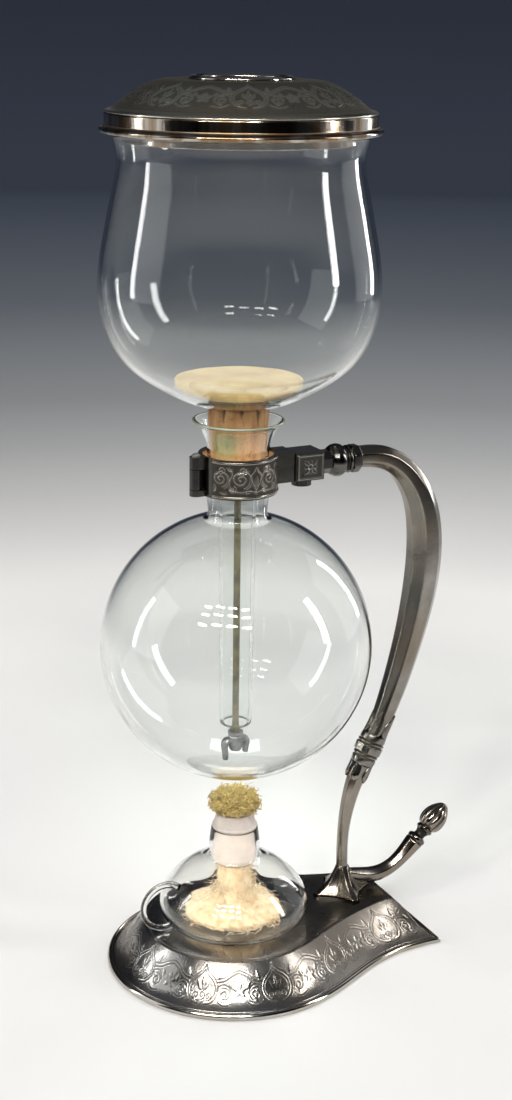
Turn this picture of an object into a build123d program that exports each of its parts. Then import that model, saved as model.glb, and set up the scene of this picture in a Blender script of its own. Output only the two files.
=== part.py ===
from build123d import *
from math import atan2, cos, hypot, pi, radians, sin
import os

# Table siphon coffee maker: a glass globe held by a collar on a plated stand, a glass funnel
# plugged into its neck, and a spirit lamp below. Millimetres. Z is up and is the axis of the
# glass, z = 0 is the surface that the base stands on, and +X points to the handle.

# ---- Driving dimensions ----

# Base: a round front, two ogee sides and a straight back, with a sloping border.
BASE_ROUND_R = 62.5
BASE_BACK_X = 99.5
BASE_BACK_HALF = 35.0
BASE_TOP_Z = 21.0
RIM_WIDTH = 3.0
RIM_HEIGHT = 3.6
SHEET = 1.4
# Ogee slope, as (distance in from the border, height).
SLOPE_PROFILE = [(0.0, 3.0), (3.0, 5.4), (7.0, 10.2), (11.0, 16.4), (15.0, BASE_TOP_Z)]

# Stand: foot, lower stem, knuckle and handle lie in the plane y = 0.
FOOT_X = 61.0
FOOT_REACH = 14.5
FOOT_PLATE = 1.2
FOOT_FLARE_TOP_Z = 36.0
LEAF_ANGLES = (45, 135, 225, 315)
ACORN_TIP = 25.0
STEM_END = (70.6, 90.4)
HANDLE_START = (77.6, 104.6)
KNUCKLE_TILT = atan2(HANDLE_START[0] - STEM_END[0], HANDLE_START[1] - STEM_END[1])
HANDLE_END = (62.6, 249.2)
BAR_Z = 248.75
BEAD_X = 46.6
STUD_R = 2.5
SMALL_STUD_R = 1.6
SPUR_END = (103.6, 40.6)
FINIAL_ANGLE = 43.0

# Collar round the neck of the globe, split in the plane y = 0 and hinged opposite the arm.
COLLAR_R = 18.2
COLLAR_WALL = 1.7
COLLAR_BOTTOM_Z = 239.4
COLLAR_TOP_Z = 257.6
HINGE_X = -21.2
BARREL_R = 3.0
PIN_R = 1.2
KNUCKLE_TOP_Z = 251.9
KNUCKLE_LOW_Z = 242.4
SPLIT_GAP = 0.2
MOVING_GAP = 0.3
RUNNING_GAP = 0.05

# Clamp block at the end of the arm, with the screw that holds the rear half of the collar shut.
BLOCK_X0 = 26.4
BLOCK_X1 = 41.2
BLOCK_HALF_Y = 7.0
BLOCK_Z0 = 242.2
BLOCK_Z1 = 255.4
SLOT_Z0 = 246.4
SLOT_Z1 = 251.2
SCREW_X = 33.0
SCREW_R = 2.0

# Glass globe.
GLOBE_R = 64.0
GLOBE_Z = 164.5
NECK_R = 14.3
LIP_R = 21.0
LIP_Z = 272.2
GLOBE_WALL = 1.5

# Glass funnel: an open bowl drawn down into a long stem.
FUNNEL_LIP_R = 57.0
FUNNEL_LIP_Z = 400.2
FUNNEL_WALL = 1.8
BOWL_BOTTOM_Z = 279.6
STEM_TOP_R = 9.1
STEM_TIP_R = 7.6
STEM_TIP_Z = 124.5
STEM_WALL = 1.5

# Cork stopper between the funnel's stem and the neck.
STOPPER_TOP_Z = 279.6
STOPPER_LOW_Z = 252.6
STOPPER_TOP_R = 14.2
STOPPER_LOW_R = 12.6

# Filter: a cloth-covered disc on a long rod with a wing nut under the stem.
DISC_R = 28.6
DISC_Z0 = 288.4
DISC_THICK = 1.8
CLOTH_R = 29.4
CLOTH_THICK = 0.9
ROD_R = 1.6
ROD_END_Z = 110.6
NUT_TOP_Z = 118.4
NUT_LOW_Z = 110.2
WING_WIDTH = 3.4

# Lid.
LID_SEAT_Z = FUNNEL_LIP_Z + MOVING_GAP
LID_FLANGE_R = 62.0
LID_BAND_R = 59.6
LID_PLATEAU_R = 36.0
LID_WELL_R = 20.5
LID_TOP_Z = 422.4

# Spirit lamp.
LAMP_R = 36.6
LAMP_FOOT_Z = BASE_TOP_Z + MOVING_GAP
LAMP_BELLY_Z = 30.0
LAMP_DOME_Z = 55.5
LAMP_NECK_R = 12.2
LAMP_NECK_TAPER = 4.5
LAMP_RIM_R = 11.5
LAMP_NECK_TOP_Z = 70.6
LAMP_WALL = 1.6
RING_X = -37.2
RING_Z = 35.0
RING_R = 11.3
RING_ROD_R = 1.65
HOLDER_TOP_Z = 78.0
HOLDER_LOW_Z = 51.5
TUFT_R = 13.4
TUFT_TOP_Z = 91.5


# ---- Shared shapes ----

def turned(points):
    """Solid of revolution about Z from an (r, z) outline of straight lines."""
    return revolve(Plane.XZ * make_face(Polyline(*points, close=True)), Axis.Z)


def turned_curve(edges):
    """Solid of revolution about Z from closed (r, z) edges."""
    return revolve(Plane.XZ * make_face(Curve() + edges), Axis.Z)


def disc(radius, z0, z1, x=0.0, y=0.0):
    """Upright cylinder between two heights."""
    return Pos(x, y, (z0 + z1) / 2) * Cylinder(radius, z1 - z0)


def block(x0, x1, y0, y1, z0, z1):
    """Box between two corners."""
    centre = Pos((x0 + x1) / 2, (y0 + y1) / 2, (z0 + z1) / 2)
    return centre * Box(x1 - x0, y1 - y0, z1 - z0)


def along(origin, direction):
    """Plane at a point (x, z) of the stand's plane, whose Z runs along a direction (dx, dz)."""
    return Plane(origin=(origin[0], 0, origin[1]), x_dir=(0, 1, 0), z_dir=(direction[0], 0, direction[1]))


def octagon_on(plane, across):
    """Octagon of a given width across its flats."""
    return plane * RegularPolygon(across / 2, 8, major_radius=False, rotation=22.5)


def tapered_bar(path, widths):
    """Octagonal bar along a path, its width eased from one listed value to the next."""
    sections = []
    spans = len(widths) - 1
    count = 2 * spans
    for step in range(count + 1):
        t = step / count
        place = min(int(t * spans), spans - 1)
        share = t * spans - place
        across = widths[place] * (1 - share) + widths[place + 1] * share
        tangent = path % t
        point = path @ t
        plane = along((point.X, point.Z), (tangent.X, tangent.Z))
        sections.append(octagon_on(plane, across))
    return loft(sections)


# ---- Base ----

def base_outline(inset, z):
    """Plan of the base at a height, drawn in from its edge."""
    r = BASE_ROUND_R - inset
    back = BASE_BACK_X - inset
    half = BASE_BACK_HALF - inset
    start = (r * cos(radians(-92)), r * sin(radians(-92)))
    side_points = [(31.0, -54.5, -62), (54.0, -43.0, -60), (72.0, -36.6, -76)]
    inner = [(x - inset * cos(radians(a)), y - inset * sin(radians(a))) for x, y, a in side_points]
    near = [start] + inner + [(back, -half)]
    far = [(x, -y) for x, y in near]
    start_way = (cos(radians(-2)), sin(radians(-2)))
    end_way = (cos(radians(-4)), sin(radians(-4)))
    round_front = CenterArc((0, 0), r, 92, 176)
    near_side = Spline(*near, tangents=[start_way, end_way])
    back_edge = Line((back, -half), (back, half))
    far_side = Spline(*reversed(far), tangents=[(-end_way[0], end_way[1]), (-start_way[0], start_way[1])])
    return Pos(0, 0, z) * make_face([round_front, near_side, back_edge, far_side])


def slope_solid(extra, drop):
    """Solid under the ogee slope of the base, thinned by an extra inset and a drop."""
    sections = [base_outline(RIM_WIDTH + extra + inset, z - drop) for inset, z in SLOPE_PROFILE]
    return loft(sections)


def make_base_shell():
    """Hollow raised base, open underneath, with a hole for the foot's stud."""
    skirt_top = SLOPE_PROFILE[0][1]
    skirt = extrude(base_outline(RIM_WIDTH, 0), skirt_top)
    hollow_skirt = extrude(base_outline(RIM_WIDTH + SHEET, -1), skirt_top - SHEET + 1)
    outside = skirt + slope_solid(0, 0)
    inside = hollow_skirt + slope_solid(SHEET, SHEET)
    return outside - inside - disc(STUD_R, 10, BASE_TOP_Z + 1, FOOT_X)


def make_base_border():
    """Rounded wire border round the edge of the base."""
    outer = extrude(base_outline(0, 0), RIM_HEIGHT)
    outer = fillet(outer.faces().sort_by(Axis.Z)[-1].edges(), RIM_HEIGHT / 3)
    return outer - extrude(base_outline(RIM_WIDTH, -1), RIM_HEIGHT + 2)


# ---- Stand ----

def star_face(reach, half_tip, waist, z):
    """Four-pointed star with blunt tips along X and Y and hollow sides between them."""
    corners = []
    for turn in range(4):
        a = radians(90 * turn)
        for side in (-half_tip, half_tip):
            corners.append((reach * cos(a) - side * sin(a), reach * sin(a) + side * cos(a)))
    edges = []
    for turn in range(4):
        first = corners[2 * turn]
        second = corners[2 * turn + 1]
        third = corners[(2 * turn + 2) % 8]
        middle = radians(90 * turn + 45)
        edges.append(Line(first, second))
        edges.append(ThreePointArc(second, (waist * cos(middle), waist * sin(middle)), third))
    return Pos(FOOT_X, 0, z) * make_face(edges)


def make_foot_plate():
    """Thin star-shaped plate between the foot and the base."""
    plate = extrude(star_face(FOOT_REACH + 0.8, 1.9, 10.2, BASE_TOP_Z), FOOT_PLATE)
    return plate - disc(STUD_R, BASE_TOP_Z - 1, BASE_TOP_Z + FOOT_PLATE + 1, FOOT_X)


def make_lower_stem():
    """Flared foot, curved octagonal stem and rear spur, cast in one piece."""
    z0 = BASE_TOP_Z + FOOT_PLATE
    flare = loft([
        star_face(FOOT_REACH, 1.5, 9.6, z0),
        star_face(11.0, 1.5, 7.6, z0 + 2.4),
        star_face(7.4, 1.5, 5.5, z0 + 6.0),
        star_face(4.6, 1.4, 4.0, z0 + 10.5),
        star_face(3.0, 1.25, 3.0, FOOT_FLARE_TOP_Z),
    ])
    path = Spline((FOOT_X - 0.2, 0, FOOT_FLARE_TOP_Z - 1), (60.9, 0, 52.0), (63.7, 0, 71.0),
                  (STEM_END[0], 0, STEM_END[1]),
                  tangents=[(0, 0, 1), (sin(KNUCKLE_TILT), 0, cos(KNUCKLE_TILT))])
    stem = tapered_bar(path, [5.6, 5.6, 7.4, 9.6])
    knuckle = along(STEM_END, (sin(KNUCKLE_TILT), cos(KNUCKLE_TILT)))
    for angle in LEAF_ANGLES:
        stem += knuckle * Rot(0, 0, angle) * Pos(4.9, 0, -4.6) * scale(Sphere(1), by=(1.6, 3.0, 4.5))
    spur_path = Spline((FOOT_X + 1.5, 0, 31.5), (73.0, 0, 27.8), (84.0, 0, 27.2), (95.0, 0, 32.6),
                       (SPUR_END[0], 0, SPUR_END[1]),
                       tangents=[(1, 0, -0.35), (cos(radians(FINIAL_ANGLE)), 0, sin(radians(FINIAL_ANGLE)))])
    spur = tapered_bar(spur_path, [4.4, 7.4, 7.4, 7.6, 9.4])
    holes = disc(STUD_R, z0 - 1, z0 + 10, FOOT_X)
    way = (sin(KNUCKLE_TILT), cos(KNUCKLE_TILT))
    top_hole = along(STEM_END, way) * Pos(0, 0, -3) * Cylinder(SMALL_STUD_R, 8)
    return flare + stem + spur - holes - top_hole


def make_upper_handle():
    """Octagonal handle that swells at its bend and tapers to both ends."""
    path = Spline((HANDLE_START[0], 0, HANDLE_START[1]), (90.4, 0, 137.5), (97.8, 0, 165.0),
                  (102.0, 0, 202.0), (93.6, 0, 233.5), (78.0, 0, 247.0), (HANDLE_END[0], 0, HANDLE_END[1]),
                  tangents=[(sin(KNUCKLE_TILT), 0, cos(KNUCKLE_TILT)), (-1, 0, 0)])
    bar = tapered_bar(path, [9.4, 12.2, 14.4, 16.4, 15.8, 12.4, 9.8])
    foot = along(HANDLE_START, (sin(KNUCKLE_TILT), cos(KNUCKLE_TILT)))
    for angle in LEAF_ANGLES:
        bar += foot * Rot(0, 0, angle) * Pos(4.9, 0, 6.2) * scale(Sphere(1), by=(1.2, 2.8, 6.1))
    way = (sin(KNUCKLE_TILT), cos(KNUCKLE_TILT))
    low_hole = along(HANDLE_START, way) * Pos(0, 0, 3) * Cylinder(SMALL_STUD_R, 8)
    top_hole = Pos(HANDLE_END[0] + 2, 0, BAR_Z) * Rot(0, 90, 0) * Cylinder(SMALL_STUD_R, 10)
    return bar - low_hole - top_hole


def make_stem_knuckle():
    """Banded collar where the handle and the lower stem are screwed together."""
    length = hypot(HANDLE_START[0] - STEM_END[0], HANDLE_START[1] - STEM_END[1])
    rings = [(0.0, 5.9), (3.0, 6.3), (3.3, 5.7), (4.2, 5.7), (4.4, 6.4), (5.2, 6.4), (5.4, 5.7), (5.9, 5.7),
             (6.1, 6.9), (10.1, 7.1), (10.3, 5.9), (10.8, 5.9), (11.0, 6.8), (11.9, 6.8), (12.1, 5.9),
             (12.6, 5.9), (12.8, 6.6), (length, 6.3)]
    outline = [(SMALL_STUD_R, 0.0)] + [(r, z) for z, r in rings] + [(SMALL_STUD_R, length)]
    way = (sin(KNUCKLE_TILT), cos(KNUCKLE_TILT))
    return along(STEM_END, way) * turned(outline)


def make_handle_stud():
    """Threaded stud inside the knuckle, screwed into the stem and the handle."""
    length = hypot(HANDLE_START[0] - STEM_END[0], HANDLE_START[1] - STEM_END[1])
    way = (sin(KNUCKLE_TILT), cos(KNUCKLE_TILT))
    return along(STEM_END, way) * Pos(0, 0, length / 2) * Cylinder(SMALL_STUD_R, length + 12)


def make_spur_collar():
    """Ring and spool at the end of the spur."""
    outline = [(0, 0), (3.9, 0), (4.7, 0.8), (4.7, 2.2), (3.9, 3.0), (2.9, 3.4), (2.7, 4.6),
               (3.3, 6.4), (4.3, 7.4), (4.3, 8.6), (0, 8.6)]
    way = (cos(radians(FINIAL_ANGLE)), sin(radians(FINIAL_ANGLE)))
    return along(SPUR_END, way) * turned(outline)


def make_acorn_finial():
    """Acorn screwed on the spool: a short cup, then a fluted nut with a blunt tip."""
    edges = [
        Polyline((0, 8.6), (3.2, 8.6), (3.8, 9.4)),
        Spline((3.8, 9.4), (6.5, 13.8), (4.9, 20.2), (0.6, ACORN_TIP), tangents=[(1, 0.4), (-1, 0.35)]),
        Polyline((0.6, ACORN_TIP), (0, ACORN_TIP), (0, 8.6)),
    ]
    way = (cos(radians(FINIAL_ANGLE)), sin(radians(FINIAL_ANGLE)))
    nut = turned_curve(edges)
    for turn in range(10):
        nut -= Rot(0, 0, 36 * turn) * Pos(7.3, 0, 15.6) * Rot(0, -14, 0) * Cylinder(1.3, 12)
    return along(SPUR_END, way) * nut


def make_foot_stud():
    """Threaded stud from the foot down through the base."""
    return disc(STUD_R, 13.4, BASE_TOP_Z + FOOT_PLATE + 10, FOOT_X)


def make_foot_washer():
    """Washer under the top of the base."""
    z1 = BASE_TOP_Z - SHEET
    return disc(8, z1 - 1.4, z1, FOOT_X) - disc(STUD_R, z1 - 3, z1 + 1, FOOT_X)


def make_foot_nut():
    """Hexagon nut that pulls the foot down on the base."""
    z1 = BASE_TOP_Z - SHEET - 1.4
    body = extrude(Pos(FOOT_X, 0, z1 - 4.2) * RegularPolygon(4.6, 6), 4.2)
    return body - disc(STUD_R, z1 - 6, z1 + 1, FOOT_X)


def make_handle_bead():
    """Round bead, thin ring and faceted ring between the arm and the handle."""
    bead = turned([(SMALL_STUD_R, 0), (5.4, 0), (6.6, 1.0), (7.6, 2.8), (7.9, 4.6), (7.6, 6.4), (6.4, 8.0),
                   (5.6, 8.6), (5.6, 9.6), (6.5, 9.9), (6.5, 10.9), (5.7, 11.2), (5.7, 11.6),
                   (SMALL_STUD_R, 11.6)])
    facets = extrude(Pos(0, 0, 11.6) * RegularPolygon(6.3, 8, major_radius=False, rotation=22.5), 4.4)
    facets -= Pos(0, 0, 13.8) * Cylinder(SMALL_STUD_R, 10)
    return Pos(BEAD_X, 0, BAR_Z) * Rot(0, 90, 0) * (bead + facets)


def make_bead_stud():
    """Threaded stud that joins the arm, the bead and the handle."""
    return Pos(55, 0, BAR_Z) * Rot(0, 90, 0) * Cylinder(SMALL_STUD_R, 24)


def make_arm():
    """Octagonal arm with a square clamp block, slotted for the tongue of the rear collar."""
    bar = octagon_on(Plane(origin=(BLOCK_X1 - 1, 0, BAR_Z), x_dir=(0, 1, 0), z_dir=(1, 0, 0)), 10.6)
    arm = extrude(bar, BEAD_X - BLOCK_X1 + 1)
    arm += block(BLOCK_X0, BLOCK_X1, -BLOCK_HALF_Y, BLOCK_HALF_Y, BLOCK_Z0, BLOCK_Z1)
    arm -= block(BLOCK_X0 - 1, BLOCK_X1 - 1.9, -3.9, BLOCK_HALF_Y + 1, SLOT_Z0, SLOT_Z1)
    arm -= disc(SCREW_R + RUNNING_GAP, BLOCK_Z0 - 1, BLOCK_Z1 - 1.6, SCREW_X)
    arm -= Pos(45, 0, BAR_Z) * Rot(0, 90, 0) * Cylinder(SMALL_STUD_R, 4)
    return arm


def make_block_plate():
    """Square ornamental plate on the front of the clamp block."""
    plate = block(BLOCK_X0 + 0.4, BLOCK_X1 - 0.4, -BLOCK_HALF_Y - 1.0, -BLOCK_HALF_Y, BLOCK_Z0 + 0.4,
                  BLOCK_Z1 - 0.4)
    return chamfer(plate.faces().sort_by(Axis.Y)[0].edges(), 0.5)


# ---- Collar ----

def half_ring(outer, inner, z0, z1, side):
    """Half of a ring on one side of the plane y = 0; side is +1 or -1."""
    ring = disc(outer, z0, z1) - disc(inner, z0 - 1, z1 + 1)
    keep = block(-40, 40, SPLIT_GAP, 40, z0 - 1, z1 + 1)
    if side < 0:
        keep = mirror(keep, about=Plane.XZ)
    return ring & keep


def barrel(z0, z1, side):
    """Hinge knuckle with the web that ties it to its half of the collar."""
    web = block(HINGE_X, -COLLAR_R + 1.4, SPLIT_GAP, BARREL_R, z0, z1)
    if side < 0:
        web = mirror(web, about=Plane.XZ)
    return disc(BARREL_R, z0, z1, HINGE_X) + web


def make_collar_front():
    """Front half of the collar, fixed to the arm, with the outer hinge knuckles."""
    ring = half_ring(COLLAR_R, COLLAR_R - COLLAR_WALL, COLLAR_BOTTOM_Z, COLLAR_TOP_Z, -1)
    ring -= disc(BARREL_R + 0.4, KNUCKLE_LOW_Z - MOVING_GAP, KNUCKLE_TOP_Z + MOVING_GAP, HINGE_X)
    ring += barrel(KNUCKLE_TOP_Z + MOVING_GAP / 2, COLLAR_TOP_Z, -1)
    ring += barrel(COLLAR_BOTTOM_Z, KNUCKLE_LOW_Z - MOVING_GAP / 2, -1)
    root = block(14.0, BLOCK_X0, -6.0, -SPLIT_GAP, BLOCK_Z0, BLOCK_Z1 + 1.2)
    ring += root - disc(COLLAR_R - 0.4, BLOCK_Z0 - 1, BLOCK_Z1 + 3)
    return ring - disc(PIN_R, COLLAR_BOTTOM_Z - 1, COLLAR_TOP_Z + 1, HINGE_X)


def make_collar_rear():
    """Rear half of the collar, which swings, with the middle knuckle and the clamp's tongue."""
    ring = half_ring(COLLAR_R, COLLAR_R - COLLAR_WALL, COLLAR_BOTTOM_Z, COLLAR_TOP_Z, 1)
    for z0, z1 in ((COLLAR_BOTTOM_Z - 1, KNUCKLE_LOW_Z + 0.3), (KNUCKLE_TOP_Z - 0.3, COLLAR_TOP_Z + 1)):
        ring -= disc(BARREL_R + 0.4, z0, z1, HINGE_X)
    ring += barrel(KNUCKLE_LOW_Z + MOVING_GAP / 2, KNUCKLE_TOP_Z - MOVING_GAP / 2, 1)
    root = block(14.0, BLOCK_X0 - 0.5, SPLIT_GAP, 6.0, BLOCK_Z0, BLOCK_Z1 + 1.2)
    ring += root - disc(COLLAR_R - 0.4, BLOCK_Z0 - 1, BLOCK_Z1 + 3)
    tongue = block(BLOCK_X0 - 1, BLOCK_X1 - 2.8, -3.3, 6.0, SLOT_Z0 + 0.4, SLOT_Z1 - 0.4)
    tongue -= block(0, BLOCK_X0 + 0.3, -5, SPLIT_GAP, SLOT_Z0, SLOT_Z1)
    tongue -= block(SCREW_X - 2.6, SCREW_X + 2.6, -5, 0, SLOT_Z0, SLOT_Z1)
    tongue -= disc(2.6, SLOT_Z0, SLOT_Z1, SCREW_X)
    ring += tongue
    return ring - disc(PIN_R + RUNNING_GAP, COLLAR_BOTTOM_Z - 1, COLLAR_TOP_Z + 1, HINGE_X)


def make_hinge_pin():
    """Hinge pin with a small domed head."""
    pin = disc(PIN_R, COLLAR_BOTTOM_Z, COLLAR_TOP_Z, HINGE_X)
    head = turned([(0, 0), (1.9, 0), (1.9, 0.7), (1.3, 1.3), (0, 1.5)])
    return pin + Pos(HINGE_X, 0, COLLAR_TOP_Z) * head


def make_liner(side):
    """Half of the cork lining between the collar and the neck."""
    outer = COLLAR_R - COLLAR_WALL
    return half_ring(outer, NECK_R + RUNNING_GAP, COLLAR_BOTTOM_Z + 1, COLLAR_TOP_Z - 1, side)


def make_clamp_screw():
    """Thumbscrew from below the clamp block, with a knurled head."""
    head = disc(4.7, BLOCK_Z0 - 3.3, BLOCK_Z0 - MOVING_GAP, SCREW_X)
    for turn in range(24):
        a = radians(15 * turn)
        head -= disc(0.35, BLOCK_Z0 - 4, BLOCK_Z0, SCREW_X + 4.75 * cos(a), 4.75 * sin(a))
    return head + disc(SCREW_R, BLOCK_Z0 - 1, BLOCK_Z1 - 2.2, SCREW_X)


# ---- Glass, stopper and filter ----

def make_globe():
    """Blown globe with a narrow neck that flares to a lip."""
    join = radians(76)
    side = (GLOBE_R * cos(join), GLOBE_Z + GLOBE_R * sin(join))
    inner_r = GLOBE_R - GLOBE_WALL
    inner_side = (inner_r * cos(radians(75.5)), GLOBE_Z + inner_r * sin(radians(75.5)))
    bore_low = STOPPER_LOW_R + 0.08
    bore_high = STOPPER_LOW_R + 0.08 + 4.4 * (STOPPER_TOP_R - STOPPER_LOW_R) / (STOPPER_TOP_Z - STOPPER_LOW_Z)
    edges = [
        ThreePointArc((0, GLOBE_Z - GLOBE_R), (GLOBE_R, GLOBE_Z), side),
        Spline(side, (NECK_R, 236.0), tangents=[(-sin(join), cos(join)), (0, 1)]),
        Line((NECK_R, 236.0), (NECK_R, 257.5)),
        Spline((NECK_R, 257.5), (16.4, 266.5), (LIP_R, LIP_Z), tangents=[(0, 1), (1, 0.35)]),
        Polyline((LIP_R, LIP_Z), (LIP_R - 0.6, LIP_Z + 1.1)),
        Spline((LIP_R - 0.6, LIP_Z + 1.1), (15.3, 267.6), (bore_high, 257.0),
               tangents=[(-1, -0.35), (-0.06, -1)]),
        Polyline((bore_high, 257.0), (bore_low, STOPPER_LOW_Z), (bore_low - 0.1, 236.0)),
        Spline((bore_low - 0.1, 236.0), inner_side, tangents=[(0, -1), (sin(join), -cos(join))]),
        ThreePointArc(inner_side, (inner_r, GLOBE_Z), (0, GLOBE_Z - inner_r)),
        Line((0, GLOBE_Z - inner_r), (0, GLOBE_Z - GLOBE_R)),
    ]
    return turned_curve(edges)


def funnel_wall(offset):
    """Bowl outline of the funnel from its lip to its bottom, moved in by an offset."""
    points = [(FUNNEL_LIP_R, FUNNEL_LIP_Z), (54.6, 391.0), (56.3, 376.0), (60.0, 358.0), (63.2, 336.0),
              (61.4, 318.5), (52.4, 300.5), (41.0, 291.2), (28.0, 284.0)]
    ways = [0, 0, -8, -10, 2, 14, 42, 54, 66]
    return [(r - offset * cos(radians(a)), z + offset * sin(radians(a))) for (r, z), a in zip(points, ways)]


def make_funnel():
    """Funnel: a waisted bowl drawn down into a slightly tapered stem."""
    outer = funnel_wall(0)
    inner = funnel_wall(FUNNEL_WALL)
    foot_r = STEM_TOP_R + 3.2
    hole_r = STEM_TOP_R - STEM_WALL
    edges = [
        Spline(*outer, (20.0, 280.9), (foot_r, BOWL_BOTTOM_Z)),
        Polyline((foot_r, BOWL_BOTTOM_Z), (STEM_TOP_R, BOWL_BOTTOM_Z), (STEM_TIP_R, STEM_TIP_Z),
                 (STEM_TIP_R - STEM_WALL, STEM_TIP_Z), (hole_r, BOWL_BOTTOM_Z + 0.4)),
        Spline((hole_r, BOWL_BOTTOM_Z + 0.4), (foot_r, BOWL_BOTTOM_Z + 1.9), (19.8, 282.7), *reversed(inner)),
        Line(inner[0], outer[0]),
    ]
    return turned_curve(edges)


def make_stopper():
    """Tapered cork stopper, bored for the funnel's stem."""
    slope = (STEM_TOP_R - STEM_TIP_R) / (BOWL_BOTTOM_Z - STEM_TIP_Z)
    low_bore = STEM_TOP_R - slope * (STOPPER_TOP_Z - STOPPER_LOW_Z)
    return turned([(STEM_TOP_R, STOPPER_TOP_Z), (STOPPER_TOP_R, STOPPER_TOP_Z),
                   (STOPPER_LOW_R, STOPPER_LOW_Z), (low_bore, STOPPER_LOW_Z)])


def make_filter_disc():
    """Perforated disc that carries the filter cloth."""
    z0 = DISC_Z0
    z1 = DISC_Z0 + DISC_THICK
    plate = disc(DISC_R, z0, z1) - disc(ROD_R, z0 - 1, z1 + 1)
    for ring in range(1, 5):
        for turn in range(6 * ring):
            a = 2 * pi * turn / (6 * ring)
            r = 5.6 * ring
            plate -= disc(1.0, z0 - 1, z1 + 1, r * cos(a), r * sin(a))
    return plate


def make_filter_cloth():
    """Cloth cap stretched over the disc and turned in under its edge."""
    z0 = DISC_Z0
    z1 = DISC_Z0 + DISC_THICK
    return turned([(0, z1), (DISC_R, z1), (DISC_R, z0), (24.6, z0), (24.6, z0 - CLOTH_THICK),
                   (CLOTH_R - 0.5, z0 - CLOTH_THICK), (CLOTH_R, z0 - 0.3), (CLOTH_R, z1 + 0.4),
                   (CLOTH_R - 0.5, z1 + CLOTH_THICK), (0, z1 + CLOTH_THICK)])


def make_filter_rod():
    """Long rod from the filter disc down through the stem, threaded at its end."""
    return disc(ROD_R, ROD_END_Z, DISC_Z0 + DISC_THICK) + disc(3.4, DISC_Z0 - 1.4, DISC_Z0)


def make_thrust_washer():
    """Small washer between the wing nut and the stem."""
    return disc(3.7, NUT_TOP_Z + 0.3, NUT_TOP_Z + 1.7) - disc(ROD_R + RUNNING_GAP, NUT_TOP_Z, NUT_TOP_Z + 2)


def make_wing_nut():
    """Wing nut with its two wings bent down."""
    nut = turned([(0, NUT_LOW_Z), (2.6, NUT_LOW_Z), (3.3, NUT_LOW_Z + 2), (3.5, NUT_TOP_Z - 0.6),
                  (3.0, NUT_TOP_Z), (0, NUT_TOP_Z)])
    for side, drop in ((1, 0.0), (-1, 2.4)):
        root = Pos(side * 3.6, 0, NUT_TOP_Z - 3.6) * Box(4.0, WING_WIDTH, 4.6)
        tip = Pos(side * 5.2, 0, NUT_TOP_Z - 8.2 - drop) * Rot(90, 0, 0) * Cylinder(2.2, WING_WIDTH)
        bend = Pos(side * 5.2, 0, NUT_TOP_Z - 6.2 - drop / 2) * Box(3.2, WING_WIDTH, 5.4 + drop)
        nut += root + bend + tip
    return nut - disc(ROD_R + RUNNING_GAP, NUT_LOW_Z - 1, NUT_TOP_Z + 1)


# ---- Lid ----

def make_lid_band():
    """Rim of the lid: a flange, an upright band and a skirt inside the funnel's mouth."""
    z = LID_SEAT_Z
    flange = LID_FLANGE_R
    band = LID_BAND_R
    return turned([(51.0, z - 4.0), (52.2, z - 4.0), (52.2, z + 0.2), (band, z + 0.2),
                   (flange - 1.4, z - 0.6), (flange - 0.4, z - 0.2), (flange, z + 0.9),
                   (flange - 0.4, z + 2.0), (flange - 1.4, z + 2.4), (band + 0.3, z + 3.0), (band, z + 3.6),
                   (band, z + 7.6), (band - 0.6, z + 8.3), (band - 1.6, z + 8.3), (band - 1.6, z + 2.0),
                   (51.0, z + 2.0)])


def make_lid_cover():
    """Domed top of the lid, with a steep decorated slope and a flat crown."""
    z = LID_SEAT_Z + 8.3
    top = LID_TOP_Z
    t = 1.1
    return turned([(LID_BAND_R - 0.4, z), (58.6, z + 0.8), (56.6, z + 1.2), (55.4, z + 2.0),
                   (50.0, z + 6.2), (43.6, top - 3.4), (39.0, top - 1.2), (LID_PLATEAU_R, top - 0.4),
                   (30.0, top), (LID_WELL_R + 1.4, top), (LID_WELL_R + 1.4, top - t), (30.0, top - t),
                   (LID_PLATEAU_R, top - 0.5 - t), (39.0, top - 1.4 - t), (43.2, top - 3.6 - t),
                   (49.4, z + 6.0 - t), (54.6, z + 1.6 - t), (54.6, z)])


def make_lid_well():
    """Rolled ring and short tube round the hole in the middle of the lid."""
    top = LID_TOP_Z
    r = LID_WELL_R
    return turned([(r - 1.0, top - 12), (r, top - 12), (r, top - 1.1), (r + 1.4, top - 1.1), (r + 1.4, top),
                   (r + 2.2, top), (r + 2.2, top + 0.8), (r + 1.2, top + 1.7), (r, top + 1.7),
                   (r - 1.0, top + 0.8)])


# ---- Lamp ----

def make_lamp_font():
    """Glass bowl of the lamp, with a neck and a glass finger ring."""
    z0 = LAMP_FOOT_Z
    w = LAMP_WALL
    outer = [
        Line((0, z0), (28.0, z0)),
        Spline((28.0, z0), (34.4, z0 + 3.0), (LAMP_R, LAMP_BELLY_Z), (32.8, 40.0), (24.0, 49.0),
               (16.4, 52.8), (LAMP_NECK_R, LAMP_DOME_Z)),
        Polyline((LAMP_NECK_R, LAMP_DOME_Z), (LAMP_NECK_R, LAMP_NECK_TOP_Z - LAMP_NECK_TAPER),
                 (LAMP_RIM_R, LAMP_NECK_TOP_Z), (0, LAMP_NECK_TOP_Z), (0, z0)),
    ]
    inner = [
        Line((0, z0 + w), (27.2, z0 + w)),
        Spline((27.2, z0 + w), (33.2, z0 + 4.2), (LAMP_R - w, LAMP_BELLY_Z), (31.5, 39.0), (23.2, 47.5),
               (15.6, 51.3), (LAMP_NECK_R - w, LAMP_DOME_Z - 0.8)),
        Polyline((LAMP_NECK_R - w, LAMP_DOME_Z - 0.8), (LAMP_NECK_R - w, LAMP_NECK_TOP_Z + 1),
                 (0, LAMP_NECK_TOP_Z + 1), (0, z0 + w)),
    ]
    ring = Pos(RING_X, 0, RING_Z) * Rot(90, 0, 0) * Torus(RING_R, RING_ROD_R)
    return turned_curve(outer) + ring - turned_curve(inner)


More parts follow.
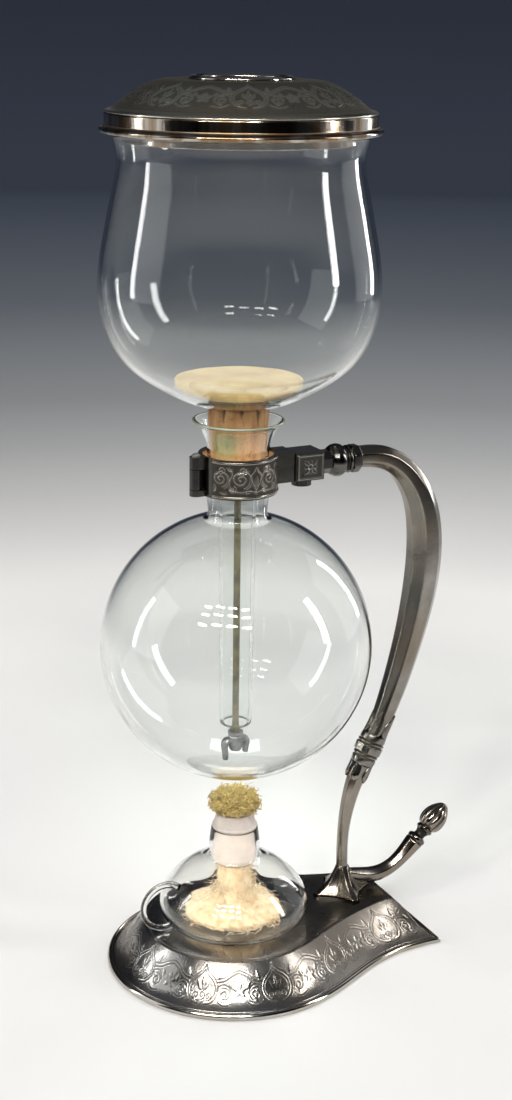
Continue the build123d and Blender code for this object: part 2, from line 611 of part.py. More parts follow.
def make_wick_holder():
    """Porcelain wick tube, hung in the neck of the lamp by its shoulder."""
    r = LAMP_NECK_R - LAMP_WALL - RUNNING_GAP
    top = LAMP_NECK_TOP_Z + MOVING_GAP
    return turned([(5.4, HOLDER_LOW_Z), (8.4, HOLDER_LOW_Z), (10.0, HOLDER_LOW_Z + 1.6),
                   (r, HOLDER_LOW_Z + 4), (r, top), (11.1, top), (11.1, top + 0.8), (10.3, top + 1.2),
                   (8.9, HOLDER_TOP_Z - 0.5), (8.3, HOLDER_TOP_Z), (7.0, HOLDER_TOP_Z),
                   (7.0, HOLDER_LOW_Z + 3)])


def make_wick():
    """Wick: a tuft above the porcelain tube and a tail that lies in the bowl."""
    tuft = turned([(0, HOLDER_TOP_Z), (9.6, HOLDER_TOP_Z), (12.6, HOLDER_TOP_Z + 2.6),
                   (TUFT_R, HOLDER_TOP_Z + 6.2), (12.2, HOLDER_TOP_Z + 9.6), (8.6, TUFT_TOP_Z - 1.4),
                   (0, TUFT_TOP_Z)])
    core = turned([(0, HOLDER_LOW_Z), (5.2, HOLDER_LOW_Z), (6.8, HOLDER_LOW_Z + 3.2),
                   (6.8, HOLDER_TOP_Z), (0, HOLDER_TOP_Z)])
    tail = loft([
        Pos(0, 0, HOLDER_LOW_Z) * Circle(5.2),
        Pos(-3.0, -1.0, 42.0) * Ellipse(7.4, 6.0),
        Pos(-7.0, -3.0, 33.0) * Ellipse(10.0, 8.0),
        Pos(-9.0, -4.0, 24.6) * Ellipse(12.4, 9.6),
    ])
    return tuft + core + tail


PARTS = {
    "base_shell": make_base_shell,
    "base_border": make_base_border,
    "foot_plate": make_foot_plate,
    "foot_stud": make_foot_stud,
    "foot_washer": make_foot_washer,
    "foot_nut": make_foot_nut,
    "lower_stem": make_lower_stem,
    "spur_collar": make_spur_collar,
    "acorn_finial": make_acorn_finial,
    "stem_knuckle": make_stem_knuckle,
    "handle_stud": make_handle_stud,
    "upper_handle": make_upper_handle,
    "handle_bead": make_handle_bead,
    "bead_stud": make_bead_stud,
    "clamp_arm": make_arm,
    "clamp_plate": make_block_plate,
    "collar_front": make_collar_front,
    "collar_rear": make_collar_rear,
    "hinge_pin": make_hinge_pin,
    "cork_liner_front": lambda: make_liner(-1),
    "cork_liner_rear": lambda: make_liner(1),
    "clamp_screw": make_clamp_screw,
    "globe": make_globe,
    "funnel": make_funnel,
    "stopper": make_stopper,
    "filter_disc": make_filter_disc,
    "filter_cloth": make_filter_cloth,
    "filter_rod": make_filter_rod,
    "thrust_washer": make_thrust_washer,
    "wing_nut": make_wing_nut,
    "lid_band": make_lid_band,
    "lid_cover": make_lid_cover,
    "lid_well": make_lid_well,
    "lamp_font": make_lamp_font,
    "wick_holder": make_wick_holder,
    "wick": make_wick,
}

os.makedirs("parts", exist_ok=True)
for name, make in PARTS.items():
    export_step(make(), f"parts/{name}.step")
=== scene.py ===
from math import atan2, cos, pi, radians, sin

import bmesh
import bpy
import numpy as np
from mathutils import Matrix, Vector


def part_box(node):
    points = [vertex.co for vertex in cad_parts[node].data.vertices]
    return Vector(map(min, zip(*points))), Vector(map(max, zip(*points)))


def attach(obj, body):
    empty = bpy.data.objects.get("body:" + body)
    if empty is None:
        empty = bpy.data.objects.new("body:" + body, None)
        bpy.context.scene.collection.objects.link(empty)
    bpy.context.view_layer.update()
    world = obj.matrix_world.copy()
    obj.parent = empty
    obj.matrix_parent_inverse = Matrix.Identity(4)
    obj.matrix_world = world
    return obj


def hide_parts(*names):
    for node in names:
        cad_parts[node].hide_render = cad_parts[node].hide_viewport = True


# Looks of the siphon coffee maker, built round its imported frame. Outlines are in millimetres
# and become metres when a mesh is made. The glass stands on the Z axis, +X points to the handle.

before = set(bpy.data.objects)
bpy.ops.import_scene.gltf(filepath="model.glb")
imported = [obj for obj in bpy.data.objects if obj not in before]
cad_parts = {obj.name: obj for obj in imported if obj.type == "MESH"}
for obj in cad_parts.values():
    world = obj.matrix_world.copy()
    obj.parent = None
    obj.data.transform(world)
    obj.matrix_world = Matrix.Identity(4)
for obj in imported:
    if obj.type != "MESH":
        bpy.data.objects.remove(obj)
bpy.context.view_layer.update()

MM = 0.001
SEED = 11
TURNED_SEGMENTS = 160
LONGEST_STEP = 2.2


def limits(name):
    """Lowest and highest corner of a CAD node, in millimetres."""
    low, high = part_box(name)
    return Vector(low) / MM, Vector(high) / MM


def foot_z(name):
    """Height of the lowest point of a CAD node."""
    return limits(name)[0].z


def top_z(name):
    """Height of the highest point of a CAD node."""
    return limits(name)[1].z


# ---- Lines and outlines ----

def steps_of(line):
    """Length of each step of a line."""
    return np.linalg.norm(np.diff(line, axis=0), axis=1)


def spacing(line):
    """Distance from the start of a line to each of its points."""
    return np.concatenate([[0], np.cumsum(steps_of(line))])


def ways_along(line):
    """Unit direction at each point of a line."""
    ways = np.gradient(line, axis=0)
    return ways / np.linalg.norm(ways, axis=1)[:, None]


def circle(count):
    """Evenly spaced angles once round."""
    return np.arange(count) * 2 * pi / count


def lifted(ring, height):
    """Flat ring of (x, y) points set at a height."""
    return np.concatenate([ring, np.full((len(ring), 1), height)], 1)


def smooth(points, per_span=8, start=None, end=None):
    """Points along a cubic curve through the given points, with optional end directions."""
    p = np.array(points, float)
    gaps = steps_of(p)
    last = len(p) - 1
    m = np.zeros((last + 1, last + 1))
    rhs = np.zeros_like(p)
    for i in range(1, last):
        a, b = gaps[i - 1], gaps[i]
        m[i, i - 1:i + 2] = b, 2 * (a + b), a
        rhs[i] = 3 * (b * (p[i] - p[i - 1]) / a + a * (p[i + 1] - p[i]) / b)
    for row, way, beside in ((0, start, 1), (last, end, last - 1)):
        if way is None:
            low, high = min(row, beside), max(row, beside)
            m[row, row], m[row, beside] = 2, 1
            rhs[row] = 3 * (p[high] - p[low]) / gaps[low]
        else:
            m[row, row] = 1
            rhs[row] = np.array(way) / np.linalg.norm(way)
    ways = np.linalg.solve(m, rhs)
    line = []
    for i, gap in enumerate(gaps):
        for t in np.arange(per_span) / per_span:
            line.append((1 + 2 * t) * (1 - t) ** 2 * p[i] + t * (1 - t) ** 2 * gap * ways[i]
                        + t * t * (3 - 2 * t) * p[i + 1] + t * t * (t - 1) * gap * ways[i + 1])
    return np.array(line + [p[last]])


def rounded(points, radius, steps=3):
    """Closed outline whose corners off the axis are rounded by short curves."""
    p = np.array(points, float)
    line = []
    for i, corner in enumerate(p):
        if corner[0] < 1e-6:
            line.append(corner)
            continue
        ends = []
        for other in (p[i - 1], p[(i + 1) % len(p)]):
            away = other - corner
            length = np.linalg.norm(away)
            ends.append(corner + away / length * min(radius, 0.42 * length))
        for t in np.arange(steps + 1) / steps:
            line.append((1 - t) ** 2 * ends[0] + 2 * t * (1 - t) * corner + t * t * ends[1])
    return np.array(line)


def fine(outline, longest):
    """The same line with extra points, so that no step is longer than a given length."""
    line = []
    for a, b in zip(outline[:-1], outline[1:]):
        steps = max(1, int(np.ceil(np.linalg.norm(b - a) / longest)))
        line += [a + (b - a) * t for t in np.arange(steps) / steps]
    return np.array(line + [outline[-1]])


def arc(cx, cz, radius, start, end, steps):
    """Points on a circle between two angles in degrees."""
    a = np.radians(np.linspace(start, end, steps))
    return np.stack([cx + radius * np.cos(a), cz + radius * np.sin(a)], 1)


# ---- Meshes ----

def mesh_object(name, points, faces, values=None):
    """Object from points in millimetres, with merged points, outward faces and smooth shading."""
    mesh = bpy.data.meshes.new(name)
    mesh.from_pydata((np.asarray(points, float) * MM).tolist(), [], faces)
    if values is not None:
        layer = mesh.attributes.new("hollow", "FLOAT", "POINT")
        layer.data.foreach_set("value", np.asarray(values, np.float32).ravel())
    bm = bmesh.new()
    bm.from_mesh(mesh)
    bmesh.ops.remove_doubles(bm, verts=bm.verts, dist=1e-7)
    bmesh.ops.recalc_face_normals(bm, faces=bm.faces)
    bm.to_mesh(mesh)
    bm.free()
    mesh.shade_smooth()
    obj = bpy.data.objects.new(name, mesh)
    bpy.context.scene.collection.objects.link(obj)
    return obj


def grid_faces(rows, columns, wrap_rows, wrap_columns, caps=False):
    """Quads over a grid of points, and end caps where the columns close on themselves."""
    ids = np.arange(rows * columns).reshape(rows, columns)
    first, last = ids[0].tolist(), ids[-1].tolist()
    if wrap_rows:
        ids = np.vstack([ids, ids[:1]])
    if wrap_columns:
        ids = np.hstack([ids, ids[:, :1]])
    corners = [ids[:-1, :-1], ids[:-1, 1:], ids[1:, 1:], ids[1:, :-1]]
    faces = np.stack(corners, -1).reshape(-1, 4).tolist()
    return faces + [first[::-1], last] if caps else faces


def grid(name, rows, wrap_rows=False, wrap_columns=True, caps=False, values=None):
    """Object from an array of points [row][column][xyz]."""
    faces = grid_faces(rows.shape[0], rows.shape[1], wrap_rows, wrap_columns, caps)
    return mesh_object(name, rows.reshape(-1, 3), faces, values)


def turned_rows(outline, segments):
    """Points [outline point][angle] of an (r, z) outline turned about Z."""
    a = circle(segments)
    r, z = np.asarray(outline, float).T
    return np.stack([np.outer(r, np.cos(a)), np.outer(r, np.sin(a)), np.outer(z, np.ones(segments))], -1)


def shaded(outline, segments, share, within):
    """Darkness of a turned outline: a share at the (r, z) points that lie in its hollows."""
    return np.repeat([[share if within(r, z) else 0.0] for r, z in outline], segments, 1)


def turned(name, outline, segments=128, values=None):
    """Solid of revolution of a closed (r, z) outline."""
    return grid(name, turned_rows(outline, segments), wrap_rows=True, values=values)


def aimed(rows, origin, way):
    """Points moved so that their Z axis starts at (x, z) of the stand's plane and runs along (dx, dz)."""
    z_axis = np.array([way[0], 0, way[1]]) / np.hypot(*way)
    x_axis = np.array([0.0, 1.0, 0.0])
    y_axis = np.cross(z_axis, x_axis)
    start = np.array([origin[0], 0, origin[1]])
    return start + rows[..., :1] * x_axis + rows[..., 1:2] * y_axis + rows[..., 2:] * z_axis


def octagon_ring(across, edge):
    """Section of an octagonal bar of a given width across flats, its edges slightly rounded."""
    reach = across / 2 / cos(pi / 8)
    corners = [(reach * cos(pi / 8 + k * pi / 4), reach * sin(pi / 8 + k * pi / 4)) for k in range(8)]
    ring = []
    for k, corner in enumerate(corners):
        corner = np.array(corner)
        before, after = np.array(corners[k - 1]), np.array(corners[(k + 1) % 8])
        side = np.linalg.norm(after - corner)
        a = corner + (before - corner) / side * edge
        b = corner + (after - corner) / side * edge
        for t in (0.0, 0.5, 1.0):
            ring.append((1 - t) ** 2 * a + 2 * t * (1 - t) * corner + t * t * b)
    return np.array(ring)


def swept_bar(name, line, widths, edge):
    """Octagonal bar along points of the stand's plane, with widths eased between the listed ones."""
    line = np.asarray(line, float)
    ways = np.gradient(line, axis=0)
    spots = spacing(line)
    across = smooth_values(spots / spots[-1], widths)
    rows = [aimed(lifted(octagon_ring(width, edge), 0.0), point, way)
            for point, way, width in zip(line, ways, across)]
    return weighted(grid(name, np.array(rows), caps=True))


def smooth_values(place, values):
    """Values eased from one listed value to the next along places from 0 to 1."""
    knots = np.linspace(0, 1, len(values))
    line = smooth(np.stack([knots * len(values) * 4, values], 1), 12)
    return np.interp(place * len(values) * 4, line[:, 0], line[:, 1])


def weighted(obj):
    """Flat faces stay flat beside their rounded edges."""
    modifier = obj.modifiers.new("normals", "WEIGHTED_NORMAL")
    modifier.keep_sharp = True
    return obj


def settle(obj):
    """Applies an object's modifiers to its mesh."""
    graph = bpy.context.evaluated_depsgraph_get()
    mesh = bpy.data.meshes.new_from_object(obj.evaluated_get(graph), depsgraph=graph)
    obj.modifiers.clear()
    obj.data = mesh
    return obj


def combined(obj, others, operation="UNION"):
    """Joins solids into one closed mesh, or cuts them away."""
    for other in others:
        modifier = obj.modifiers.new("join", "BOOLEAN")
        modifier.operation = operation
        modifier.solver = "EXACT"
        modifier.object = other
    settle(obj)
    for other in others:
        bpy.data.objects.remove(other)
    return obj


def joined(obj, others):
    """One object from several that only rest in one another."""
    bm = bmesh.new()
    for part in [obj, *others]:
        bm.from_mesh(part.data)
    bm.to_mesh(obj.data)
    bm.free()
    for other in others:
        bpy.data.objects.remove(other)
    return obj


# ---- Materials ----

def material(name, **plain):
    """Principled material with plain values on its sockets."""
    mat = bpy.data.materials.new(name)
    mat.use_nodes = True
    for socket, value in plain.items():
        shader_of(mat).inputs[socket.replace("_", " ").title().replace("Ior", "IOR")].default_value = value
    return mat


def shader_of(mat):
    return mat.node_tree.nodes["Principled BSDF"]


def node(mat, kind, inputs=None, **properties):
    """Adds a node. An input is a plain value, or the output that feeds it."""
    made = mat.node_tree.nodes.new("ShaderNode" + kind)
    for key, value in properties.items():
        setattr(made, key, value)
    for key, value in (inputs or {}).items():
        if isinstance(value, bpy.types.NodeSocket):
            mat.node_tree.links.new(value, made.inputs[key])
        else:
            made.inputs[key].default_value = value
    return made


def place(mat):
    """Object coordinates in metres."""
    return node(mat, "TexCoord").outputs["Object"]


def hollows(mat):
    """How deep each point lies in a hollow of the ornament, from 0 to 1."""
    return node(mat, "Attribute", attribute_name="hollow").outputs["Fac"]


def noise(mat, scale, detail=4, roughness=0.55, stretch=(1, 1, 1), distortion=0.0):
    """Noise over the object, stretched along each axis."""
    where = node(mat, "Mapping", {"Vector": place(mat), "Scale": stretch}).outputs["Vector"]
    values = {"Vector": where, "Scale": scale, "Detail": detail, "Roughness": roughness,
              "Distortion": distortion}
    return node(mat, "TexNoise", values).outputs["Fac"]


def ramp(mat, value, *stops):
    """Colour or grey ramp with (place, colour) stops; a grey is one number."""
    made = node(mat, "ValToRGB", {"Fac": value})
    while len(made.color_ramp.elements) < len(stops):
        made.color_ramp.elements.new(0.5)
    for element, (spot, colour) in zip(made.color_ramp.elements, stops):
        element.position = spot
        element.color = (colour, colour, colour, 1) if isinstance(colour, (int, float)) else (*colour, 1)
    return made.outputs["Color"]


def mixed(mat, share, first, second, how="MIX"):
    """Mix of two colours."""
    made = node(mat, "Mix", data_type="RGBA", blend_type=how)
    for key, value in ((0, share), (6, first), (7, second)):
        if isinstance(value, bpy.types.NodeSocket):
            mat.node_tree.links.new(value, made.inputs[key])
        elif key == 0:
            made.inputs[0].default_value = value
        else:
            made.inputs[key].default_value = (*value, 1)
    return made.outputs[2]


def math(mat, operation, a, b=0.0, clamp=False):
    return node(mat, "Math", {0: a, 1: b}, operation=operation, use_clamp=clamp).outputs[0]


def bump(mat, height, strength, distance, under=None):
    values = {"Height": height, "Strength": strength, "Distance": distance}
    if under is not None:
        values["Normal"] = under
    return node(mat, "Bump", values).outputs["Normal"]


def feed(mat, **sockets):
    """Links outputs to the shader's sockets."""
    for socket, output in sockets.items():
        mat.node_tree.links.new(output, shader_of(mat).inputs[socket.replace("_", " ").title()])
    return mat


def make_silver(name, bright, tarnish, wear, polish=0.09, streaks=0.0, warmth=0.4):
    """Polished plate, worn and tarnished in patches and in the hollows of its ornament."""
    mat = material(name, metallic=1.0)
    patches = noise(mat, 26, 6, 0.62, distortion=0.6)
    specks = noise(mat, 420, 3, 0.6)
    stain = ramp(mat, patches, (0.36, 0.0), (0.72, wear))
    dirt = math(mat, "MAXIMUM", stain, math(mat, "MULTIPLY", hollows(mat), 0.97), clamp=True)
    dirt = math(mat, "ADD", dirt, ramp(mat, specks, (0.62, 0.0), (0.80, 0.22)), clamp=True)
    colour = mixed(mat, dirt, bright, tarnish)
    warm = ramp(mat, noise(mat, 17, 3), (0.40, 0.0), (0.62, warmth))
    colour = mixed(mat, warm, colour, (0.88, 0.68, 0.48), "MULTIPLY")
    if streaks:
        lines = ramp(mat, noise(mat, 150, 4, 0.6, stretch=(1, 1, 0.02)), (0.42, 0.0), (0.55, streaks))
        colour = mixed(mat, lines, colour, (0.20, 0.115, 0.05))
    gloss = ramp(mat, dirt, (0.0, polish), (0.45, polish + 0.14), (1.0, 0.5))
    scratches = noise(mat, 900, 2, 0.5, stretch=(1, 1, 0.12))
    relief = bump(mat, scratches, 0.06, 0.0004)
    relief = bump(mat, noise(mat, 75, 3), 0.10, 0.0012, relief)
    return feed(mat, base_color=colour, roughness=gloss, normal=relief)


def make_steel(name, colour, dark, roughness):
    """Dull turned steel or bronze."""
    mat = material(name, metallic=1.0)
    stain = ramp(mat, noise(mat, 160, 5, 0.65), (0.38, 0.0), (0.7, 1.0))
    lines = noise(mat, 1500, 2, 0.5, stretch=(1, 1, 0.1))
    gloss = ramp(mat, stain, (0.0, roughness), (1.0, roughness + 0.25))
    relief = bump(mat, lines, 0.12, 0.0003)
    return feed(mat, base_color=mixed(mat, stain, colour, dark), roughness=gloss, normal=relief)


def make_glass(name, tint, through, waviness):
    """Clear blown glass with slight waves, which lets lamps through."""
    mat = material(name, base_color=(*tint, 1), transmission_weight=1.0, roughness=0.0, ior=1.47)
    waves = bump(mat, noise(mat, 34, 2, 0.4, stretch=(1, 1, 0.45)), waviness, 0.002)
    feed(mat, normal=waves)
    path = node(mat, "LightPath").outputs["Is Shadow Ray"]
    clear = node(mat, "BsdfTransparent", {"Color": (*through, 1)}).outputs[0]
    both = node(mat, "MixShader", {0: path, 1: shader_of(mat).outputs[0], 2: clear})
    mat.node_tree.links.new(both.outputs[0], mat.node_tree.nodes["Material Output"].inputs["Surface"])
    return mat


def make_edge_glass(name):
    """Rounded glass edge, partly opaque and coloured pale green: a painted highlight for the light gathered
    in the wall.
    """
    mat = material(name, transmission_weight=0.45, roughness=0.18, ior=1.47)
    tone = ramp(mat, noise(mat, 60, 3), (0.35, (0.40, 0.46, 0.33)), (0.65, (0.62, 0.68, 0.56)))
    return feed(mat, base_color=tone, normal=bump(mat, noise(mat, 90, 2), 0.1, 0.0005))


def make_cork(name, stain_at=None):
    """Aged cork: orange tan with upright grain, dark pits and a green stain."""
    mat = material(name, roughness=0.78)
    grain = noise(mat, 300, 5, 0.62, stretch=(1, 1, 0.2))
    blotch = noise(mat, 85, 4, 0.6)
    colour = ramp(mat, grain, (0.3, (0.25, 0.12, 0.045)), (0.52, (0.37, 0.195, 0.08)),
                  (0.72, (0.47, 0.28, 0.13)))
    colour = mixed(mat, ramp(mat, blotch, (0.42, 0.0), (0.62, 0.55)), colour, (0.30, 0.14, 0.05))
    pits = ramp(mat, noise(mat, 520, 2, 0.4, stretch=(1, 1, 0.5)), (0.26, 1.0), (0.34, 0.0))
    colour = mixed(mat, pits, colour, (0.10, 0.045, 0.02))
    colour = mixed(mat, hollows(mat), colour, (0.045, 0.025, 0.012))
    if stain_at:
        gap = node(mat, "VectorMath", {0: place(mat), 1: stain_at}, operation="DISTANCE")
        edge = math(mat, "ADD", gap.outputs["Value"], math(mat, "MULTIPLY", blotch, 0.006))
        share = ramp(mat, edge, (0.0062, 0.75), (0.0125, 0.0))
        colour = mixed(mat, share, colour, (0.085, 0.125, 0.025))
    relief = bump(mat, grain, 0.35, 0.0006)
    return feed(mat, base_color=colour, normal=relief)


def make_cloth(name):
    """Plain-woven cotton, stained by coffee."""
    mat = material(name, roughness=0.92, sheen_weight=0.25)
    where = place(mat)
    threads = []
    for axis in ("X", "Y"):
        values = {"Vector": where, "Scale": 430.0, "Distortion": 0.6, "Detail": 1.0}
        threads.append(node(mat, "TexWave", values, bands_direction=axis).outputs["Fac"])
    weave = math(mat, "MULTIPLY", threads[0], threads[1])
    stain = noise(mat, 55, 5, 0.6)
    colour = ramp(mat, stain, (0.32, (0.24, 0.155, 0.05)), (0.55, (0.33, 0.235, 0.09)),
                  (0.75, (0.40, 0.30, 0.14)))
    colour = mixed(mat, math(mat, "MULTIPLY", weave, 0.4), colour, (0.21, 0.14, 0.055))
    return feed(mat, base_color=colour, normal=bump(mat, weave, 0.5, 0.0004))


def make_wick_cotton(name, seat):
    """Cotton: ochre and charred above the holder, cream and peach where it is soaked."""
    mat = material(name, roughness=0.95, sheen_weight=0.3)
    tone = noise(mat, 230, 4, 0.65)
    burnt = ramp(mat, tone, (0.30, (0.20, 0.13, 0.03)), (0.50, (0.44, 0.32, 0.09)),
                 (0.70, (0.64, 0.50, 0.20)))
    soaked = ramp(mat, tone, (0.30, (0.40, 0.29, 0.16)), (0.55, (0.54, 0.43, 0.28)),
                  (0.75, (0.64, 0.54, 0.39)))
    height = node(mat, "SeparateXYZ", {0: place(mat)}).outputs["Z"]
    above = node(mat, "MapRange", {"Value": height, "From Min": seat, "From Max": seat + 0.003})
    colour = mixed(mat, above.outputs["Result"], soaked, burnt)
    return feed(mat, base_color=colour, normal=bump(mat, tone, 0.4, 0.0006))


def make_porcelain(name):
    """Bisque porcelain, pinkish white with faint specks."""
    mat = material(name, roughness=0.42, subsurface_weight=0.15, subsurface_scale=0.004)
    colour = ramp(mat, noise(mat, 120, 4), (0.35, (0.50, 0.44, 0.40)), (0.65, (0.60, 0.53, 0.48)))
    specks = ramp(mat, noise(mat, 900, 2), (0.66, 0.0), (0.74, 0.5))
    colour = mixed(mat, specks, colour, (0.34, 0.26, 0.21))
    return feed(mat, base_color=colour, normal=bump(mat, noise(mat, 400, 3), 0.08, 0.0005))


SILVER = make_silver("worn_silver", (0.31, 0.297, 0.275), (0.065, 0.052, 0.037), 0.7, warmth=0.55)
BAND_SILVER = make_silver("polished_silver", (0.56, 0.545, 0.51), (0.13, 0.105, 0.08), 0.45)
STREAKED_SILVER = make_silver("streaked_silver", (0.52, 0.50, 0.46), (0.13, 0.10, 0.07), 0.45, 0.10, 0.85)
ENGRAVED_SILVER = make_silver("engraved_silver", (0.40, 0.39, 0.37), (0.038, 0.034, 0.03), 0.62, 0.18)
OLIVE_SILVER = make_silver("olive_silver", (0.85, 0.83, 0.72), (0.044, 0.042, 0.030), 0.2, 0.20)
SCROLL_SILVER = make_silver("scroll_silver", (0.40, 0.385, 0.35), (0.026, 0.024, 0.021), 0.2, 0.15)
DARK_SILVER = make_silver("tarnished_silver", (0.13, 0.127, 0.12), (0.026, 0.024, 0.021), 0.35, 0.10)
STEEL = make_steel("dull_steel", (0.56, 0.55, 0.53), (0.26, 0.25, 0.23), 0.32)
DARK_STEEL = make_steel("dark_steel", (0.30, 0.30, 0.30), (0.09, 0.09, 0.09), 0.30)
BRONZE = make_steel("dark_bronze", (0.22, 0.19, 0.10), (0.06, 0.055, 0.03), 0.38)
GLASS = make_glass("clear_glass", (0.97, 0.985, 0.975), (0.95, 0.965, 0.955), 0.05)
LAMP_GLASS = make_glass("lamp_glass", (0.985, 0.98, 0.96), (0.96, 0.955, 0.93), 0.09)
# EDGE_GLASS is coloured pale green as a painted highlight along the lip.
EDGE_GLASS = make_edge_glass("lip_glass_painted_glint")
CLOTH = make_cloth("stained_filter_cloth")
PORCELAIN = make_porcelain("bisque_porcelain")


def dress(obj, mat):
    """Gives an object one material on all its faces."""
    obj.data.materials.clear()
    obj.data.materials.append(mat)
    return obj


def piece(obj, mat, body, slot, *nodes):
    """Finishes a piece: its material, body and the CAD nodes it stands for; its record slot is not used."""
    dress(obj, mat)
    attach(obj, body)
    if nodes:
        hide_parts(*nodes)
    return obj


# ---- Engraved ornament ----
# A motif is drawn on a flat tile (u along, v across, both in millimetres) from grooves and leaves.

def spiral(cx, cy, r0, r1, start, turns):
    """Spiral from radius r0 to r1, starting at an angle in degrees."""
    t = np.linspace(0, 1, int(40 * abs(turns)) + 8)
    a = radians(start) + 2 * pi * turns * t
    r = r0 + (r1 - r0) * t
    return np.stack([cx + r * np.cos(a), cy + r * np.sin(a)], 1)


def left_of(mid, scale):
    """Returns a function for points given by their distance left of a tile's middle and their height."""
    def spots(*points):
        return [(mid - x, y * scale) for x, y in points]
    return spots


def bends(spots, *shapes):
    """Smooth grooves, each given as its width and the points that it passes."""
    return [(smooth(spots(*points), 10), width) for width, *points in shapes]


def blades(spots, *shapes):
    """Leaves, each given as its half width, its base and its tip."""
    return [(np.array(spots(*points)), width) for width, *points in shapes]


def mirrored(shapes, about):
    """The shapes and their mirror images about the line u = about."""
    twins = [((2 * about, 0) + line * (-1, 1), width) for line, width in shapes]
    return shapes + twins


def raised(shapes, height):
    """The shapes moved across the tile."""
    return [(line + (0, height), width) for line, width in shapes]


TILE_LENGTH = 38.0
LEAF_RISE = 0.17
GROOVE_DEPTH = 0.13


def carve(u, v, grooves, leaves):
    """Relief in millimetres and darkness from 0 to 1 at points (u, v) of a tile."""
    flat = np.stack([u.ravel(), v.ravel()], 1)
    height = np.zeros(len(flat))
    dark = np.zeros(len(flat))
    for line, width in leaves:
        base, tip = np.array(line[0]), np.array(line[-1])
        length = np.linalg.norm(tip - base)
        way = (tip - base) / length
        along = (flat - base) @ way / length
        side = (flat - base) @ np.array([-way[1], way[0]])
        inside = (along > 0) & (along < 1)
        half = width * np.sin(pi * np.clip(along, 0, 1) ** 0.75)
        share = np.where(inside & (half > 1e-6), np.abs(side) / np.maximum(half, 1e-6), 9.0)
        body = np.clip(1 - share ** 2, 0, 1) * LEAF_RISE
        vein = 0.5 * LEAF_RISE * np.exp(-(side / 0.22) ** 2) * inside
        height = np.maximum(height, np.where(share < 1, body - vein, 0))
        edge = np.exp(-((share - 1.05) / 0.22) ** 2) * inside
        dark = np.maximum(dark, 0.7 * edge)
        height -= 0.06 * edge
    for line, width in grooves:
        nearest = np.full(len(flat), 1e9)
        for spot in line:
            nearest = np.minimum(nearest, ((flat - spot) ** 2).sum(1))
        cut = np.exp(-nearest / width ** 2)
        ridge = np.exp(-(np.sqrt(nearest) - 2.0 * width) ** 2 / (0.8 * width) ** 2)
        height += 0.05 * ridge - GROOVE_DEPTH * cut
        dark = np.maximum(dark, cut)
    return height.reshape(u.shape), dark.reshape(u.shape)


def palmette_tile(length, across):
    """Double pointed arch round three lobes and leaves, a waving double line, and rosettes between."""
    mid = length / 2
    plain = 0.13 * across
    s = (across - plain) / 16.6
    spots = left_of(mid, s)
    grooves = bends(
        spots,
        (0.30, (0, 15.2), (1.6, 12.9), (5.4, 10.3), (7.6, 7.0), (7.0, 3.4), (4.2, 1.0), (1.6, 0.5)),
        (0.24, (0, 13.2), (1.5, 11.5), (4.6, 9.2), (6.3, 6.7), (5.8, 3.8), (3.8, 2.0)),
        (0.30, (7.3, 8.4), (11.0, 9.0), (15.0, 11.0), (19.0, 12.4)),
        (0.24, (7.0, 9.8), (11.0, 10.4), (15.0, 12.4), (19.0, 13.8)),
        (0.26, (7.6, 6.4), (9.4, 7.6), (12.6, 7.4), (14.4, 5.0)),
        (0.24, (14.6, 1.2), (11.0, 0.5), (8.0, 2.0)))
    grooves.append((spiral(mid - 11.4, 4.3 * s, 2.9, 0.5, 70, 1.5), 0.26))
    grooves.append((spiral(mid - 3.3, 3.3 * s, 1.6, 0.3, 250, -1.3), 0.25))
    leaves = blades(spots, (0.95, (0.3, 5.2), (3.2, 9.0)), (0.85, (8.4, 9.6), (9.6, 13.4)),
                    (0.85, (13.6, 9.2), (15.4, 6.2)), (0.8, (9.2, 4.4), (11.0, 6.2)),
                    (0.8, (10.6, 2.0), (12.8, 3.4)))
    heart = np.array([mid - 19.0, 6.0 * s])
    for turn in range(5):
        a = radians(72 * turn + 18)
        leaves.append((np.array([heart, heart + (3.9 * cos(a), 3.9 * sin(a))]), 1.25))
    grooves = mirrored(grooves, mid) + [(spiral(mid, 3.5 * s, 1.7, 0.3, 270, 1.4), 0.25)]
    leaves = mirrored(leaves, mid) + blades(spots, (0.8, (0, 5.6), (0, 11.4)))
    return [raised(shapes, plain) for shapes in (grooves, leaves)]


def scroll_tile(length, across):
    """Nested scrolls that face a tulip in the middle, with leaves off their stems."""
    s = across / 14.0
    mid = length / 2
    spots = left_of(mid, s)
    grooves = bends(
        spots,
        (0.26, (0, 1.2), (3.0, 2.2), (6.6, 1.8), (11.0, 3.4)),
        (0.25, (0, 2.4), (1.6, 5.4), (2.4, 9.0), (0.9, 11.0), (0, 12.8)),
        (0.24, (11.2, 12.6), (10.2, 9.4), (11.4, 6.4), (10.6, 3.0)))
    for centre, reach in ((mid - 6.6, 4.3), (mid - 15.4, 3.7)):
        grooves.append((spiral(centre, 7.6 * s, reach * s, 0.5, -70, 1.9), 0.27))
        grooves.append((spiral(centre, 7.6 * s, (reach + 0.9) * s, 2.6 * s, -60, 0.6), 0.22))
        grooves.append((spiral(centre + 0.6, 11.6 * s, 1.9, 0.3, 230, 1.3), 0.22))
        grooves.append((spiral(centre - 3.6, 3.0 * s, 1.8, 0.3, 60, -1.3), 0.22))
    leaves = blades(spots, (0.8, (2.8, 11.0), (6.4, 13.4)), (0.8, (9.6, 11.6), (12.8, 13.2)),
                    (0.8, (12.0, 1.4), (15.8, 1.6)), (0.7, (2.2, 3.2), (4.8, 1.0)))
    leaves = mirrored(leaves, mid) + blades(spots, (0.9, (0, 4.0), (0, 9.6)))
    return mirrored(grooves, mid), leaves


